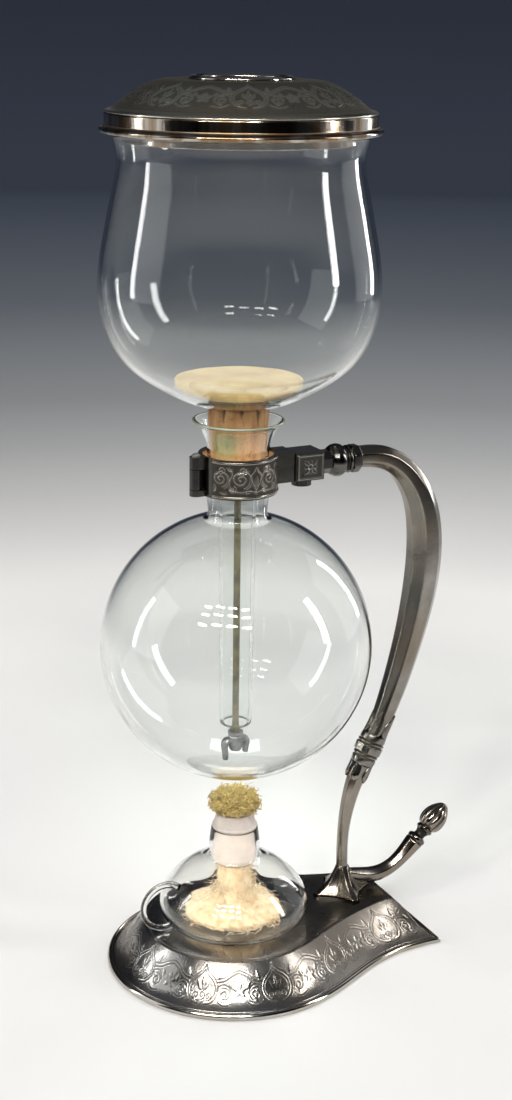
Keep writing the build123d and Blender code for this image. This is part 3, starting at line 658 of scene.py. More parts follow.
def relief_on(u_steps, v_steps, tiles, across):
    """Relief and darkness on a strip: repeats of one tile along, faded at both borders."""
    per_tile = u_steps // tiles
    u, v = np.meshgrid(np.arange(per_tile) * TILE_LENGTH / per_tile, np.linspace(0, across, v_steps))
    height, dark = carve(u, v, *palmette_tile(TILE_LENGTH, across))
    fade = np.clip(np.minimum(v, across - v) / 1.2, 0, 1)
    rng = np.random.default_rng(SEED)
    height = np.tile(height * fade, tiles)
    dark = np.tile(dark * fade, tiles)
    matt = rng.normal(0, 1, height.shape)
    height += 0.012 * matt * np.tile(fade, tiles) * (dark < 0.3)
    return height, np.clip(dark, 0, 1)


# ---- Base ----

BASE_ROUND_R = -limits("base_border")[0].x
BASE_BACK_X = limits("base_border")[1].x
BASE_BACK_HALF = 35.0
RIM_WIDTH = 3.0
RIM_HEIGHT = top_z("base_border")
BASE_TOP_Z = top_z("base_shell")
SLOPE_WIDTH = 15.0
SHEET = 1.4
BASE_STEPS = (541, 291, 193)
BORDER_STEPS = (361, 161, 91)


def base_line(inset, arc_steps, side_steps, back_steps):
    """Plan of the base drawn in from its edge, as a closed ring of points with a fixed count."""
    r = BASE_ROUND_R - inset
    back, half = BASE_BACK_X - inset, BASE_BACK_HALF - inset
    start = (r * cos(radians(-92)), r * sin(radians(-92)))
    side = [(31.0, -54.5, -62), (54.0, -43.0, -60), (72.0, -36.6, -76)]
    inner = [(x - inset * cos(radians(a)), y - inset * sin(radians(a))) for x, y, a in side]
    near = smooth([start] + inner + [(back, -half)], 24, (cos(radians(-2)), sin(radians(-2))),
                  (cos(radians(-4)), sin(radians(-4))))
    near = evenly(near, side_steps)
    far = near[::-1] * (1, -1)
    edge = np.stack([np.full(back_steps, back), np.linspace(-half, half, back_steps)], 1)
    front = arc(0, 0, r, 92, 268, arc_steps)
    return np.concatenate([front[:-1], near[:-1], edge[:-1], far[:-1]])


def evenly(line, count):
    """The same line with a given count of evenly spaced points."""
    along = spacing(line)
    spots = np.linspace(0, along[-1], count)
    return np.stack([np.interp(spots, along, side) for side in line.T], 1)


def ring_at(inset, z, steps):
    """Ring of the base's plan drawn in from its edge, at a height."""
    return lifted(base_line(inset, *steps), z)


def make_base():
    """Base shell with an engraved ogee slope, open underneath."""
    steps = BASE_STEPS
    profile = smooth([(0.0, 3.0), (3.0, 5.4), (7.0, 10.2), (11.0, 16.4), (SLOPE_WIDTH, BASE_TOP_Z)], 14)
    profile = evenly(profile, 60)
    slope = np.array([ring_at(RIM_WIDTH + inset, z, steps) for inset, z in profile])
    along = slope.shape[1]
    across = float(steps_of(profile).sum())
    tiles = 11
    columns = along // tiles * tiles
    height, dark = relief_on(columns, len(profile), tiles, across)
    spots = np.arange(along) * columns / along
    height = np.stack([np.interp(spots, np.arange(columns), row, period=columns) for row in height])
    dark = np.stack([np.interp(spots, np.arange(columns), row, period=columns) for row in dark])
    out = outward(slope[0])
    for k, (run, rise) in enumerate(ways_along(profile)):
        slope[k, :, :2] += out * (height[k] * rise)[:, None]
        slope[k, :, 2] += height[k] * run
    top = [ring_at(RIM_WIDTH + SLOPE_WIDTH + inset, BASE_TOP_Z + z, steps) for inset, z in
           ((0.5, 0.0), (0.9, 0.0), (1.3, -0.12), (1.8, -0.12), (2.4, 0.0))]
    centre = np.array([14.0, 0.0])
    edge = top[-1]
    for share in (0.9, 0.75, 0.55, 0.35, 0.18, 0.06, 0.0):
        ring = edge.copy()
        ring[:, :2] = centre + (edge[:, :2] - centre) * share
        top.append(ring)
    foot = [ring_at(RIM_WIDTH, 0.0, steps), ring_at(RIM_WIDTH, 1.5, steps)]
    under = [ring_at(RIM_WIDTH + SHEET + inset, z, steps) for inset, z in
             ((15.6, BASE_TOP_Z - SHEET), (11.4, 15.4), (7.2, 9.2), (3.0, 4.2), (0.0, 1.8), (0.0, 0.0))]
    ceiling = under[0].copy()
    ceiling[:, :2] = centre
    rows = np.array(foot + list(slope) + top + [ceiling] + under)
    values = np.zeros(rows.shape[:2])
    values[len(foot):len(foot) + len(slope)] = dark
    lip = len(foot) + len(slope)
    values[lip + 2:lip + 4] = 0.5
    base = grid("base_plate", rows, wrap_rows=True, values=values)
    return piece(base, ENGRAVED_SILVER, "stand", "silver_plate", "base_shell")


def outward(ring):
    """Unit outward directions of a closed ring in plan."""
    way = np.roll(ring[:, :2], -1, 0) - np.roll(ring[:, :2], 1, 0)
    out = np.stack([way[:, 1], -way[:, 0]], 1)
    out /= np.linalg.norm(out, axis=1)[:, None]
    middle = ring[:, :2].mean(0)
    if ((ring[:, :2] - middle) * out).sum() < 0:
        out = -out
    return out


def make_border():
    """Rolled border round the base: a bead, a groove and a small inner bead."""
    outline = [(0.9, 0.0), (0.25, 0.5), (0.0, 1.3), (0.15, 2.3), (0.8, 3.2), (1.5, RIM_HEIGHT - 0.1),
               (2.0, 3.1), (2.25, 2.75), (2.5, 3.0), (2.8, 3.25), (3.1, 3.0), (3.1, 0.0)]
    outline = rounded(outline, 0.35, 2)
    rows = np.array([ring_at(inset, z, BORDER_STEPS) for inset, z in outline])
    values = np.array([np.full(rows.shape[1], 0.75 if 2.05 < inset < 2.45 and z > 2.5 else 0.0)
                       for inset, z in outline])
    border = grid("base_border_bead", rows, wrap_rows=True, values=values)
    return piece(border, BAND_SILVER, "stand", "silver_plate", "base_border")


# ---- Stand ----

FOOT_X = 61.0
FOOT_Z = foot_z("lower_stem")
STEM_END = (70.6, 90.4)
HANDLE_START = (77.6, 104.6)
KNUCKLE_WAY = (HANDLE_START[0] - STEM_END[0], HANDLE_START[1] - STEM_END[1])
BEAD_START = (46.6, 248.75)
SPUR_END = (103.6, 40.6)
FINIAL_WAY = (cos(radians(43)), sin(radians(43)))


def star_ring(reach, half_tip, waist, z, notch=0.0):
    """Four-pointed star with blunt tips along X and Y at a height over the foot, its sides notched."""
    points = []
    for turn in range(4):
        a = radians(90 * turn)
        b = radians(90 * turn + 90)
        first, second, third = (np.array([reach * cos(t) + side * sin(t), reach * sin(t) - side * cos(t)])
                                for t, side in ((a, half_tip), (a, -half_tip), (b, half_tip)))
        middle = np.array([cos((a + b) / 2), sin((a + b) / 2)])
        pull = 2 * waist * middle - (second + third) / 2
        points += [first + (second - first) * t for t in (0.0, 0.12, 0.5, 0.88)]
        for t in np.linspace(0, 1, 25)[:-1]:
            spot = (1 - t) ** 2 * second + 2 * t * (1 - t) * pull + t * t * third
            points.append(spot - middle * notch * np.exp(-((t - 0.5) / 0.045) ** 2))
    return lifted(np.array(points) + (FOOT_X, 0), z)


def make_lower_stem():
    """Flared foot, octagonal stem and rear spur, joined in one casting."""
    heights = smooth([(14.5, 0.0), (11.0, 2.4), (7.4, 6.0), (4.6, 10.5), (3.0, 13.8)], 6)
    rows = [star_ring(14.5, 1.5, 9.6, FOOT_Z, 0.7), star_ring(14.5, 1.5, 9.6, FOOT_Z + 0.7, 0.7)]
    for reach, rise in heights[1:]:
        share = (reach - 3.0) / 11.5
        rows.append(star_ring(reach, 1.25 + 0.25 * share, 3.0 + 6.6 * share, FOOT_Z + 0.7 + rise * 0.95,
                              0.7 * share))
    flare = grid("lower_stem_bar", np.array(rows), caps=True)
    stem_line = smooth([(FOOT_X - 0.2, 33.0), (60.9, 52.0), (63.7, 71.0), STEM_END], 16, (0, 1), KNUCKLE_WAY)
    stem = swept_bar("stem", stem_line, [5.6, 5.6, 7.4, 9.6], 0.45)
    spur_line = smooth([(FOOT_X + 1.5, 31.5), (73.0, 27.8), (84.0, 27.2), (95.0, 32.6), SPUR_END], 12,
                       (1, -0.35), FINIAL_WAY)
    spur = swept_bar("spur", spur_line, [4.4, 7.4, 7.4, 7.6, 9.4], 0.5)
    whole = weighted(combined(flare, [settle(stem), settle(spur)]))
    return piece(whole, SILVER, "stand", "silver_plate", "lower_stem")


def make_handle():
    """Octagonal handle that swells at its bend."""
    line = smooth([HANDLE_START, (90.4, 137.5), (97.8, 165.0), (102.0, 202.0), (93.6, 233.5), (78.0, 247.0),
                   (62.6, 249.2)], 18, KNUCKLE_WAY, (-1, 0))
    bar = swept_bar("handle_bar", line, [9.4, 12.2, 14.4, 16.4, 15.8, 12.4, 9.8], 0.7)
    return piece(bar, SILVER, "stand", "silver_plate", "upper_handle")


def leaf(name, origin, way, side_angle, length, half_widths, radii):
    """Cast leaf that lies along a bar, its half width and distance from the bar's middle eased."""
    place = np.linspace(0, 1, 25)
    rows = []
    for t, half, radius in zip(place, smooth_values(place, half_widths), smooth_values(place, radii)):
        s = np.linspace(-1, 1, 19)
        a = radians(side_angle) + s * half / radius
        lobes = 0.16 * np.cos(3 * pi * s) * (1 - np.abs(s))
        r = radius + 0.7 * (1 - s * s) - 0.40 * np.exp(-(s / 0.12) ** 2) + lobes
        top = np.stack([r * np.cos(a), r * np.sin(a), np.full(19, length * t)], 1)
        low = radius - 1.1
        under = np.stack([low * np.cos(a), low * np.sin(a), np.full(19, length * t)], 1)
        rows.append(np.concatenate([top, under[::-1]]))
    return grid(name, aimed(np.array(rows), origin, way), caps=True)


FACET = 2 * pi / 12


def make_knuckle():
    """Banded collar between stem and handle."""
    length = float(np.hypot(*KNUCKLE_WAY))
    rings = [(5.9, 0.0), (6.3, 3.0), (5.7, 3.3), (5.7, 4.2), (6.4, 4.4), (6.4, 5.2), (5.7, 5.4), (5.7, 5.9),
             (6.9, 6.1), (7.1, 10.1), (5.9, 10.3), (5.9, 10.8), (6.8, 11.0), (6.8, 11.9), (5.9, 12.1),
             (5.9, 12.6), (6.6, 12.8), (6.3, length), (0, length), (0, 0)]
    outline = rounded(rings, 0.25, 3)
    count = 144
    values = shaded(outline, count, 0.9, lambda r, z: 0 < r < 6.1 and 1.0 < z < length - 1.0)
    rows = turned_rows(outline, count)
    turn = np.mod(circle(count), FACET) - FACET / 2
    facets = cos(FACET / 2) / np.cos(turn)
    for k, (r, z) in enumerate(outline):
        if 6.0 < z < 10.2 and r > 6.6:
            rows[k, :, :2] *= facets[:, None]
    ring = grid("knuckle_bands", aimed(rows, STEM_END, KNUCKLE_WAY), wrap_rows=True, values=values)
    ring.data.set_sharp_from_angle(angle=radians(24))
    return piece(ring, SILVER, "stand", "silver_plate", "stem_knuckle")


def make_cast_leaves():
    """Four leaves above the knuckle on the handle, and four below it on the stem."""
    down = (-KNUCKLE_WAY[0], -KNUCKLE_WAY[1])
    for k, angle in enumerate((45, 135, 225, 315)):
        upper = leaf(f"upper_leaf_{k}", HANDLE_START, KNUCKLE_WAY, angle, 12.8, [3.0, 4.3, 4.0, 2.5, 0.25],
                     [5.6, 5.45, 5.35, 5.3, 5.2])
        piece(upper, SILVER, "stand", "silver_plate")
        lower = leaf(f"lower_leaf_{k}", STEM_END, down, angle, 9.0, [2.2, 3.2, 3.5, 3.1, 1.2],
                     [5.3, 5.3, 5.35, 5.3, 4.7])
        piece(lower, SILVER, "stand", "silver_plate")


def make_spool():
    """Ring and spool at the end of the spur."""
    spool = rounded([(0, -0.2), (4.2, -0.2), (4.9, 0.8), (4.9, 2.3), (4.0, 3.1), (2.9, 3.6),
                     (2.8, 4.9), (3.4, 6.4), (4.5, 7.3), (4.6, 8.4), (3.9, 9.1), (0, 9.1)], 0.4, 3)
    values = shaded(spool, 72, 0.9, lambda r, z: 0 < r < 3.6 and 3 < z < 7)
    rows = aimed(turned_rows(spool, 72), SPUR_END, FINIAL_WAY)
    ring = grid("spur_ring", rows, wrap_rows=True, values=values)
    return piece(ring, DARK_SILVER, "stand", "silver_plate", "spur_collar")


def make_acorn():
    """Fluted acorn on the spool."""
    side = smooth([(3.8, 8.9), (5.3, 10.2), (6.5, 13.9), (5.8, 18.6), (3.5, 22.6), (1.2, 24.6)], 8, (1, 0.6),
                  (-1, 0.35))
    outline = np.concatenate([[(0, 8.9)], side, [(0, 24.9)]])
    count = 120
    rows = turned_rows(outline, count)
    a = circle(count)
    flute = np.abs(np.sin(a * 5)) ** 0.5
    depth = np.array([0.85 * sin(pi * min(max((z - 9.4) / 15.4, 0), 1)) ** 0.6 for r, z in outline])
    scale = 1 - np.outer(depth / np.maximum(outline[:, 0], 1), 1 - flute)
    rows[..., :2] *= scale[..., None]
    values = np.outer(depth > 0.1, (1 - flute) ** 0.8)
    nut = grid("acorn", aimed(rows, SPUR_END, FINIAL_WAY), values=values)
    return piece(nut, SILVER, "stand", "silver_plate", "acorn_finial")


def make_bead():
    """Round bead, thin ring and faceted ring between arm and handle."""
    bead = rounded([(0, 0), (5.4, 0), (6.6, 1.0), (7.6, 2.8), (7.9, 4.6), (7.6, 6.4), (6.4, 8.0), (5.4, 8.5),
                    (5.4, 9.5), (6.6, 9.8), (6.6, 10.9), (5.6, 11.2), (5.6, 11.8), (0, 11.8)], 0.5, 3)
    rows = aimed(turned_rows(bead, 96), BEAD_START, (1, 0))
    values = shaded(bead, 96, 0.9, lambda r, z: 0 < r < 5.8 and 8 < z < 11.9)
    round_part = grid("handle_bead_ring", rows, wrap_rows=True, values=values)
    sizes = ((11.4, 11.0), (11.7, 12.2), (12.2, 12.8), (15.3, 12.8), (15.8, 12.2), (16.0, 11.2))
    rings = [aimed(lifted(octagon_ring(across, 0.5), along), BEAD_START, (1, 0)) for along, across in sizes]
    facets = grid("facets", np.array(rings), caps=True)
    whole = weighted(joined(round_part, [facets]))
    return piece(whole, DARK_SILVER, "stand", "silver_plate", "handle_bead")


# ---- Collar ----

COLLAR_R = 18.2
COLLAR_LOW_Z = foot_z("collar_front")
COLLAR_TOP_Z = COLLAR_LOW_Z + 18.2


def make_collar_band(name, body, first, last):
    """Engraved band with a rolled edge above and below, over one half of the collar."""
    u_steps, v_steps = 190, 62
    across = COLLAR_TOP_Z - COLLAR_LOW_Z - 4.0
    u, v = np.meshgrid(np.linspace(0, TILE_LENGTH, u_steps), np.linspace(0, across, v_steps))
    height, dark = carve(u, v, *scroll_tile(TILE_LENGTH, across))
    fade = np.clip(np.minimum(v, across - v) / 0.9, 0, 1)
    fade *= np.clip(np.minimum(u, TILE_LENGTH - u) / 1.2, 0, 1)
    height = height * fade
    dark = np.clip(0.9 - 1.05 * dark * fade - 3.0 * np.maximum(height, 0), 0, 1)
    a = np.radians(np.linspace(first, last, u_steps))
    low = (COLLAR_LOW_Z + COLLAR_TOP_Z - across) / 2
    edge = [(-0.5, -1.5, 0.6), (0.25, -1.5, 0.5), (0.55, -1.05, 0.2), (0.5, -0.5, 0.4), (0.12, -0.15, 1.0)]
    levels = [(COLLAR_R + out, low + up, share) for out, up, share in edge]
    levels += [(COLLAR_R + 0.15 + height[k], low + v[k], dark[k]) for k in range(v_steps)]
    levels += [(COLLAR_R + out, low + across - up, share) for out, up, share in reversed(edge)]
    rows = np.array([np.stack([r * np.cos(a), r * np.sin(a), np.full(u_steps, z)], 1) for r, z, _ in levels])
    values = np.array([np.full(u_steps, share) for _, _, share in levels])
    band = grid(name, rows.transpose(1, 0, 2), caps=True, values=values.T)
    return piece(band, SCROLL_SILVER, body, "silver_plate")


def make_clamp_plate():
    """Square plate with a raised border and a rosette, on the front of the clamp block."""
    low, high = limits("clamp_plate")
    count = 70
    x, z = np.meshgrid(np.linspace(low.x, high.x, count), np.linspace(low.z, high.z, count))
    wide, tall = 14.0, 12.4
    u, v = (x - low.x) / (high.x - low.x) * wide, (z - low.z) / (high.z - low.z) * tall
    middle = np.array([wide / 2, tall / 2])
    grooves = [(spiral(*middle, 1.1, 1.1, 0, 1.0), 0.24)]
    leaves = []
    for turn in range(8):
        way = np.array([cos(pi / 4 * turn), sin(pi / 4 * turn)])
        reach = 4.9 if turn % 2 else 3.7
        leaves.append((np.array([middle + 1.3 * way, middle + reach * way]), 0.85))
    height, dark = carve(u, v, grooves, leaves)
    border = np.minimum.reduce([u, wide - u, v, tall - v])
    fade = np.clip((border - 1.3) / 0.6, 0, 1)
    rim = np.exp(-((border - 0.7) / 0.4) ** 2)
    height = height * fade + 0.35 * rim - 0.45 * np.clip(1 - border / 0.5, 0, 1)
    dark = np.clip(0.9 - dark * fade - 0.7 * rim, 0, 1)
    front = np.stack([x, low.y + 0.4 - height, z], -1)
    edge_ring = [front[0], front[:, -1], front[-1, ::-1], front[::-1, 0]]
    ring = np.concatenate([side[:-1] for side in edge_ring])
    back = ring.copy()
    back[:, 1] = high.y + 0.3
    faces = grid_faces(count, count, False, False)
    start = count * count
    rings = np.arange(start, start + 2 * len(ring)).reshape(2, -1)
    wrapped = np.hstack([rings, rings[:, :1]])
    faces += np.stack([wrapped[0, :-1], wrapped[0, 1:], wrapped[1, 1:], wrapped[1, :-1]], -1).tolist()
    faces.append(rings[1].tolist())
    points = np.concatenate([front.reshape(-1, 3), ring, back])
    values = np.concatenate([dark.ravel(), np.zeros(2 * len(ring))])
    plate = mesh_object("block_plate", points, faces, values)
    return piece(plate, SCROLL_SILVER, "stand", "silver_plate", "clamp_plate")


# ---- Glass ----

GLOBE_R = 64.0
GLOBE_Z = 164.5
NECK_R = 14.3
LIP_R = 21.0
LIP_Z = 272.2
STOPPER_LOW_Z, STOPPER_TOP_Z = foot_z("stopper"), top_z("stopper")
STOPPER_LOW_R, STOPPER_TOP_R = 12.6, 14.2


def make_globe():
    """Blown globe with a narrow neck that flares to a fire-polished lip."""
    join = radians(76)
    inner = GLOBE_R - 1.5
    side = (GLOBE_R * cos(join), GLOBE_Z + GLOBE_R * sin(join))
    inner_side = (inner * cos(radians(75.5)), GLOBE_Z + inner * sin(radians(75.5)))
    bore = STOPPER_LOW_R + 0.08
    mouth = bore + 4.4 * (STOPPER_TOP_R - STOPPER_LOW_R) / (STOPPER_TOP_Z - STOPPER_LOW_Z)
    outer = [arc(0, GLOBE_Z, GLOBE_R, -90, 75.4, 90),
             smooth([side, (NECK_R, 236.0)], 14, (-sin(join), cos(join)), (0, 1)),
             smooth([(NECK_R, 247.0), (NECK_R, 257.5)], 3),
             smooth([(NECK_R, 257.6), (16.4, 266.5), (LIP_R, LIP_Z)], 10, (0, 1), (1, 0.35)),
             arc(LIP_R - 0.3, LIP_Z + 0.45, 0.3, -20, 120, 6)]
    back = [smooth([(LIP_R - 0.9, LIP_Z + 0.9), (15.3, 267.6), (mouth, 257.0)], 10, (-1, -0.35),
                   (-0.06, -1)),
            smooth([(mouth, 256.9), (bore, STOPPER_LOW_Z), (bore - 0.1, 236.0)], 4),
            smooth([(bore - 0.1, 235.9), inner_side], 14, (0, -1), (sin(join), -cos(join))),
            arc(0, GLOBE_Z, inner, 75.2, -90, 90)]
    outline = np.concatenate(outer + back)
    outline[:, 0] = np.maximum(outline[:, 0], 0)
    solid = turned("glass_globe", fine(outline, LONGEST_STEP), TURNED_SEGMENTS)
    return piece(solid, GLASS, "stand", "clear_glass", "globe")


def make_globe_lip():
    """Rounded edge of the globe's lip, in glass whose pale green colour is a painted highlight."""
    bead = arc(LIP_R - 0.3, LIP_Z + 0.45, 0.5, 0, 345, 24)
    return piece(turned("globe_lip", bead, TURNED_SEGMENTS), EDGE_GLASS, "stand", "clear_glass")


def make_funnel():
    """Waisted bowl drawn down into a long, slightly tapered stem."""
    points = [(57.0, 400.2), (54.6, 391.0), (56.3, 376.0), (60.0, 358.0), (63.2, 336.0), (61.4, 318.5),
              (52.4, 300.5), (41.0, 291.2), (28.0, 284.0)]
    turns = [0, 0, -8, -10, 2, 14, 42, 54, 66]
    wall, stem_wall = 1.8, 1.5
    inner = [(r - wall * cos(radians(a)), z + wall * sin(radians(a))) for (r, z), a in zip(points, turns)]
    top_r, tip_r, tip_z, bottom = 9.1, 7.6, 124.5, 279.6
    bore_r, tip_bore_r = top_r - stem_wall, tip_r - stem_wall
    shoulder = top_r + 3.2
    outside = smooth(points + [(20.0, 280.9), (shoulder, bottom)], 10)
    inside = smooth([(bore_r, bottom + 0.4), (shoulder, bottom + 1.9), (19.8, 282.7)] + inner[::-1], 10)
    lip = arc(points[0][0] - wall / 2, points[0][1] - 0.5, wall / 2, 150, 30, 5)
    stem = [(top_r + 0.8, bottom - 0.05), (top_r, bottom - 0.8), (top_r - 0.5, 228.0), (tip_r + 0.5, 176.0),
            (tip_r, tip_z + 0.6), (tip_r - 0.5, tip_z), (tip_bore_r + 0.5, tip_z),
            (tip_bore_r, tip_z + 0.6), (tip_bore_r + 0.5, 176.0), (bore_r - 0.5, 228.0)]
    outline = fine(np.concatenate([outside[1:], stem, inside[:-1], lip]), LONGEST_STEP)
    solid = turned("glass_funnel", outline, TURNED_SEGMENTS)
    return piece(solid, GLASS, "upper_glass", "clear_glass", "funnel")


LAMP_FOOT_Z = foot_z("lamp_font")
LAMP_NECK_TOP_Z = top_z("lamp_font")
RING_X, RING_Z, RING_R, RING_ROD_R = -37.2, 35.0, 11.3, 1.65


def make_lamp():
    """Domed glass bowl of the lamp with its neck and finger ring, blown in one."""
    z0 = LAMP_FOOT_Z
    outside = np.concatenate([
        [(0, z0 + 0.5), (18.0, z0 + 0.5), (22.0, z0), (27.0, z0)],
        smooth([(28.0, z0), (34.4, z0 + 3.0), (36.6, 30.0), (32.8, 40.0), (24.0, 49.0), (16.4, 52.8),
                (12.4, 55.5)], 10, (1, 0.1), (-0.4, 1)),
        smooth([(12.0, 57.0), (12.35, 62.0), (11.9, 66.5), (11.4, 70.0)], 5),
        [(11.2, LAMP_NECK_TOP_Z), (10.9, LAMP_NECK_TOP_Z), (10.8, 70.1)]])
    inside = np.concatenate([
        [(10.65, 69.0), (10.62, 57.5)],
        smooth([(10.9, 54.9), (15.6, 51.3), (23.2, 47.5), (31.5, 39.0), (35.0, 30.0), (33.2, z0 + 4.2),
                (27.2, z0 + 1.8)], 10, (0.4, -1), (-1, 0)),
        [(20.0, z0 + 1.9), (0, z0 + 2.2)]])
    top = LAMP_NECK_TOP_Z
    solid = turned("lamp_bowl", np.concatenate([outside, [(0, top)]]), TURNED_SEGMENTS)
    hollow = np.concatenate([[(0, top + 4), (10.8, top + 4)], inside])
    cavity = turned("cavity", hollow, TURNED_SEGMENTS)
    rod = circle(24)
    rows = []
    for a in circle(96):
        thick = RING_ROD_R * (1.0 + 0.12 * cos(a))
        r = RING_R + thick * np.cos(rod)
        rows.append(np.stack([RING_X + r * cos(a), thick * np.sin(rod), RING_Z + r * sin(a)], 1))
    ring = grid("ring", np.array(rows), wrap_rows=True)
    combined(solid, [ring])
    combined(solid, [cavity], "DIFFERENCE")
    solid.data.shade_smooth()
    solid.data.set_sharp_from_angle(angle=radians(50))
    return piece(solid, LAMP_GLASS, "lamp", "lamp_glass", "lamp_font")


# ---- Stopper and filter ----

def make_stopper():
    """Tapered cork with cracks and notches at its upper edge."""
    count = 160
    rng = np.random.default_rng(SEED + 1)
    low, high = STOPPER_LOW_Z, STOPPER_TOP_Z
    side = [(STOPPER_LOW_R + (STOPPER_TOP_R - STOPPER_LOW_R) * t, low + (high - low) * t)
            for t in np.linspace(0.015, 0.985, 50)]
    outline = [(8.9, low), (STOPPER_LOW_R - 0.5, low), *side,
               (STOPPER_TOP_R - 0.5, high), (11.5, high), (9.1, high)]
    rows = turned_rows(outline, count)
    values = np.zeros(rows.shape[:2])
    a = circle(count)
    for centre, depth, reach in ((3.75, 1.5, 6.5), (4.35, 0.9, 4.0), (4.95, 1.7, 7.5), (5.6, 1.0, 3.5),
                                 (0.4, 1.3, 6.0), (1.3, 0.9, 5.0), (2.3, 1.4, 7.0), (3.1, 0.8, 4.0)):
        gap = np.angle(np.exp(1j * (a - centre))) * STOPPER_TOP_R
        for k, (r, z) in enumerate(outline):
            drop = high - z
            if r > 10 and drop < reach:
                width = 0.9 * (1 - drop / reach) + 0.12
                cut = np.exp(-(gap / width) ** 2)
                rows[k, :, :2] *= (1 - cut * depth * (1 - drop / reach) / r)[:, None]
                values[k] = np.maximum(values[k], cut * (1 - 0.4 * drop / reach))
    pits = rng.random(rows.shape[:2])
    level = np.arange(len(outline))[:, None]
    mask = (pits > 0.985) & (level > 1) & (level < len(side) + 2)
    rows[..., :2] *= np.where(mask, 0.975, 1.0)[..., None]
    values = np.maximum(values, mask * 0.7)
    cork = grid("cork_stopper", rows, wrap_rows=True, values=values)
    mat = make_cork("aged_cork", (-0.0115, -0.0085, 0.2645))
    return piece(cork, mat, "upper_glass", "cork", "stopper")


def make_filter_cloth():
    """Cloth stretched over the disc, turned under its edge and drawn in by its hem."""
    low, high = limits("filter_cloth")
    edge = high.x
    count, thick = 240, 0.45
    top = high.z
    rim = [(edge - 1.2, top - 0.05), (edge - 0.35, top - 0.5), (edge, top - 1.3), (edge - 0.05, low.z + 1.0),
           (edge - 0.5, low.z + 0.25), (edge - 1.4, low.z)]
    over = [(r, top + 0.12 * cos(r / edge * pi / 2)) for r in np.linspace(0, edge - 2.2, 26)]
    hem = [(r, low.z) for r in np.linspace(edge - 2.4, 24.8, 5)]
    outer = over + rim + hem
    inner = []
    for r, z in reversed(outer):
        drawn_in = thick if z < top - 0.2 and r > edge - 1.5 else 0.0
        moved = thick if z < low.z + 0.3 else -thick if z > top - 0.6 else 0.0
        inner.append((r - drawn_in, z + moved))
    inner[-1] = (0, inner[-1][1])
    outline = outer + inner
    rows = turned_rows(outline, count)
    a = circle(count)
    rng = np.random.default_rng(SEED + 2)
    gathers, soft = (sum(rng.uniform(0.3, 1.0) * np.sin(a * k + rng.uniform(0, 2 * pi)) for k in waves)
                     for waves in ((9, 14, 23, 31), (2, 3, 5)))
    for k, (r, z) in enumerate(outline):
        share = max(0.0, (r - 16.0) / (edge - 16.0))
        rows[k, :, 2] += 0.035 * share ** 2 * gathers + 0.05 * share * soft
    cloth = grid("filter_cloth_cap", rows, wrap_rows=True)
    piece(cloth, CLOTH, "upper_glass", "filter_cloth", "filter_cloth")
    return cloth


NUT_BORE_R = 1.65


def make_wing_nut():
    """Wing nut whose wings are bent down, one longer than the other."""
    low, high = limits("wing_nut")
    top = high.z
    hub = turned("nut_hub", rounded([(NUT_BORE_R, top - 8.2), (2.7, top - 8.2), (3.4, top - 6.2),
                                     (3.6, top - 0.9), (3.0, top), (NUT_BORE_R, top)], 0.4, 3), 48)
    wings = []
    a = circle(20)
    for side, tip_z in ((-1, low.z), (1, low.z + 2.4)):
        line = smooth([(side * 2.2, top - 2.6), (side * 4.3, top - 2.4), (side * 5.8, top - 4.4),
                       (side * 5.6, (top + tip_z) / 2 - 1.0), (side * 5.3, tip_z + 0.5)], 8)
        rows = []
        ways = np.gradient(line, axis=0)
        for k, (point, way) in enumerate(zip(line, ways)):
            t = k / (len(line) - 1)
            wide, thick = 1.5 + 1.0 * sin(pi * (0.2 + 0.72 * t)), 1.35 + 0.25 * sin(pi * t)
            flat = np.stack([wide * np.cos(a), thick * np.sin(a)], 1)
            rows.append(aimed(lifted(flat, 0.0), point, way))
        wings.append(grid("wing", np.array(rows), caps=True))
    whole = combined(hub, wings)
    whole.data.shade_smooth()
    return piece(whole, DARK_STEEL, "nut", "steel", "wing_nut")


# ---- Lid ----

LID_SEAT_Z = foot_z("lid_band") + 4.0
LID_BASE_Z = LID_SEAT_Z + 8.3
LID_TOP_Z = top_z("lid_cover")
LID_HOLE_R = 20.5


def make_lid_band():
    """Flange that drops into the funnel, and the stepped band round the lid."""
    z = LID_SEAT_Z
    band = rounded([(51.0, z - 4.0), (52.2, z - 4.0), (52.2, z + 0.2), (59.4, z + 0.2), (60.4, z - 0.55),
                    (61.5, z - 0.2), (62.0, z + 0.9), (61.5, z + 1.8), (60.5, z + 2.3), (59.9, z + 2.6),
                    (59.6, z + 3.2), (59.6, z + 7.7), (59.0, z + 8.3), (58.0, z + 8.3), (58.0, z + 2.0),
                    (51.0, z + 2.0)], 0.45, 4)
    values = shaded(band, 256, 0.8, lambda r, h: abs(r - 59.9) < 0.45 and z + 2.3 < h < z + 3.1)
    return piece(turned("lid_rim", band, 256, values), STREAKED_SILVER, "lid", "silver_plate", "lid_band")


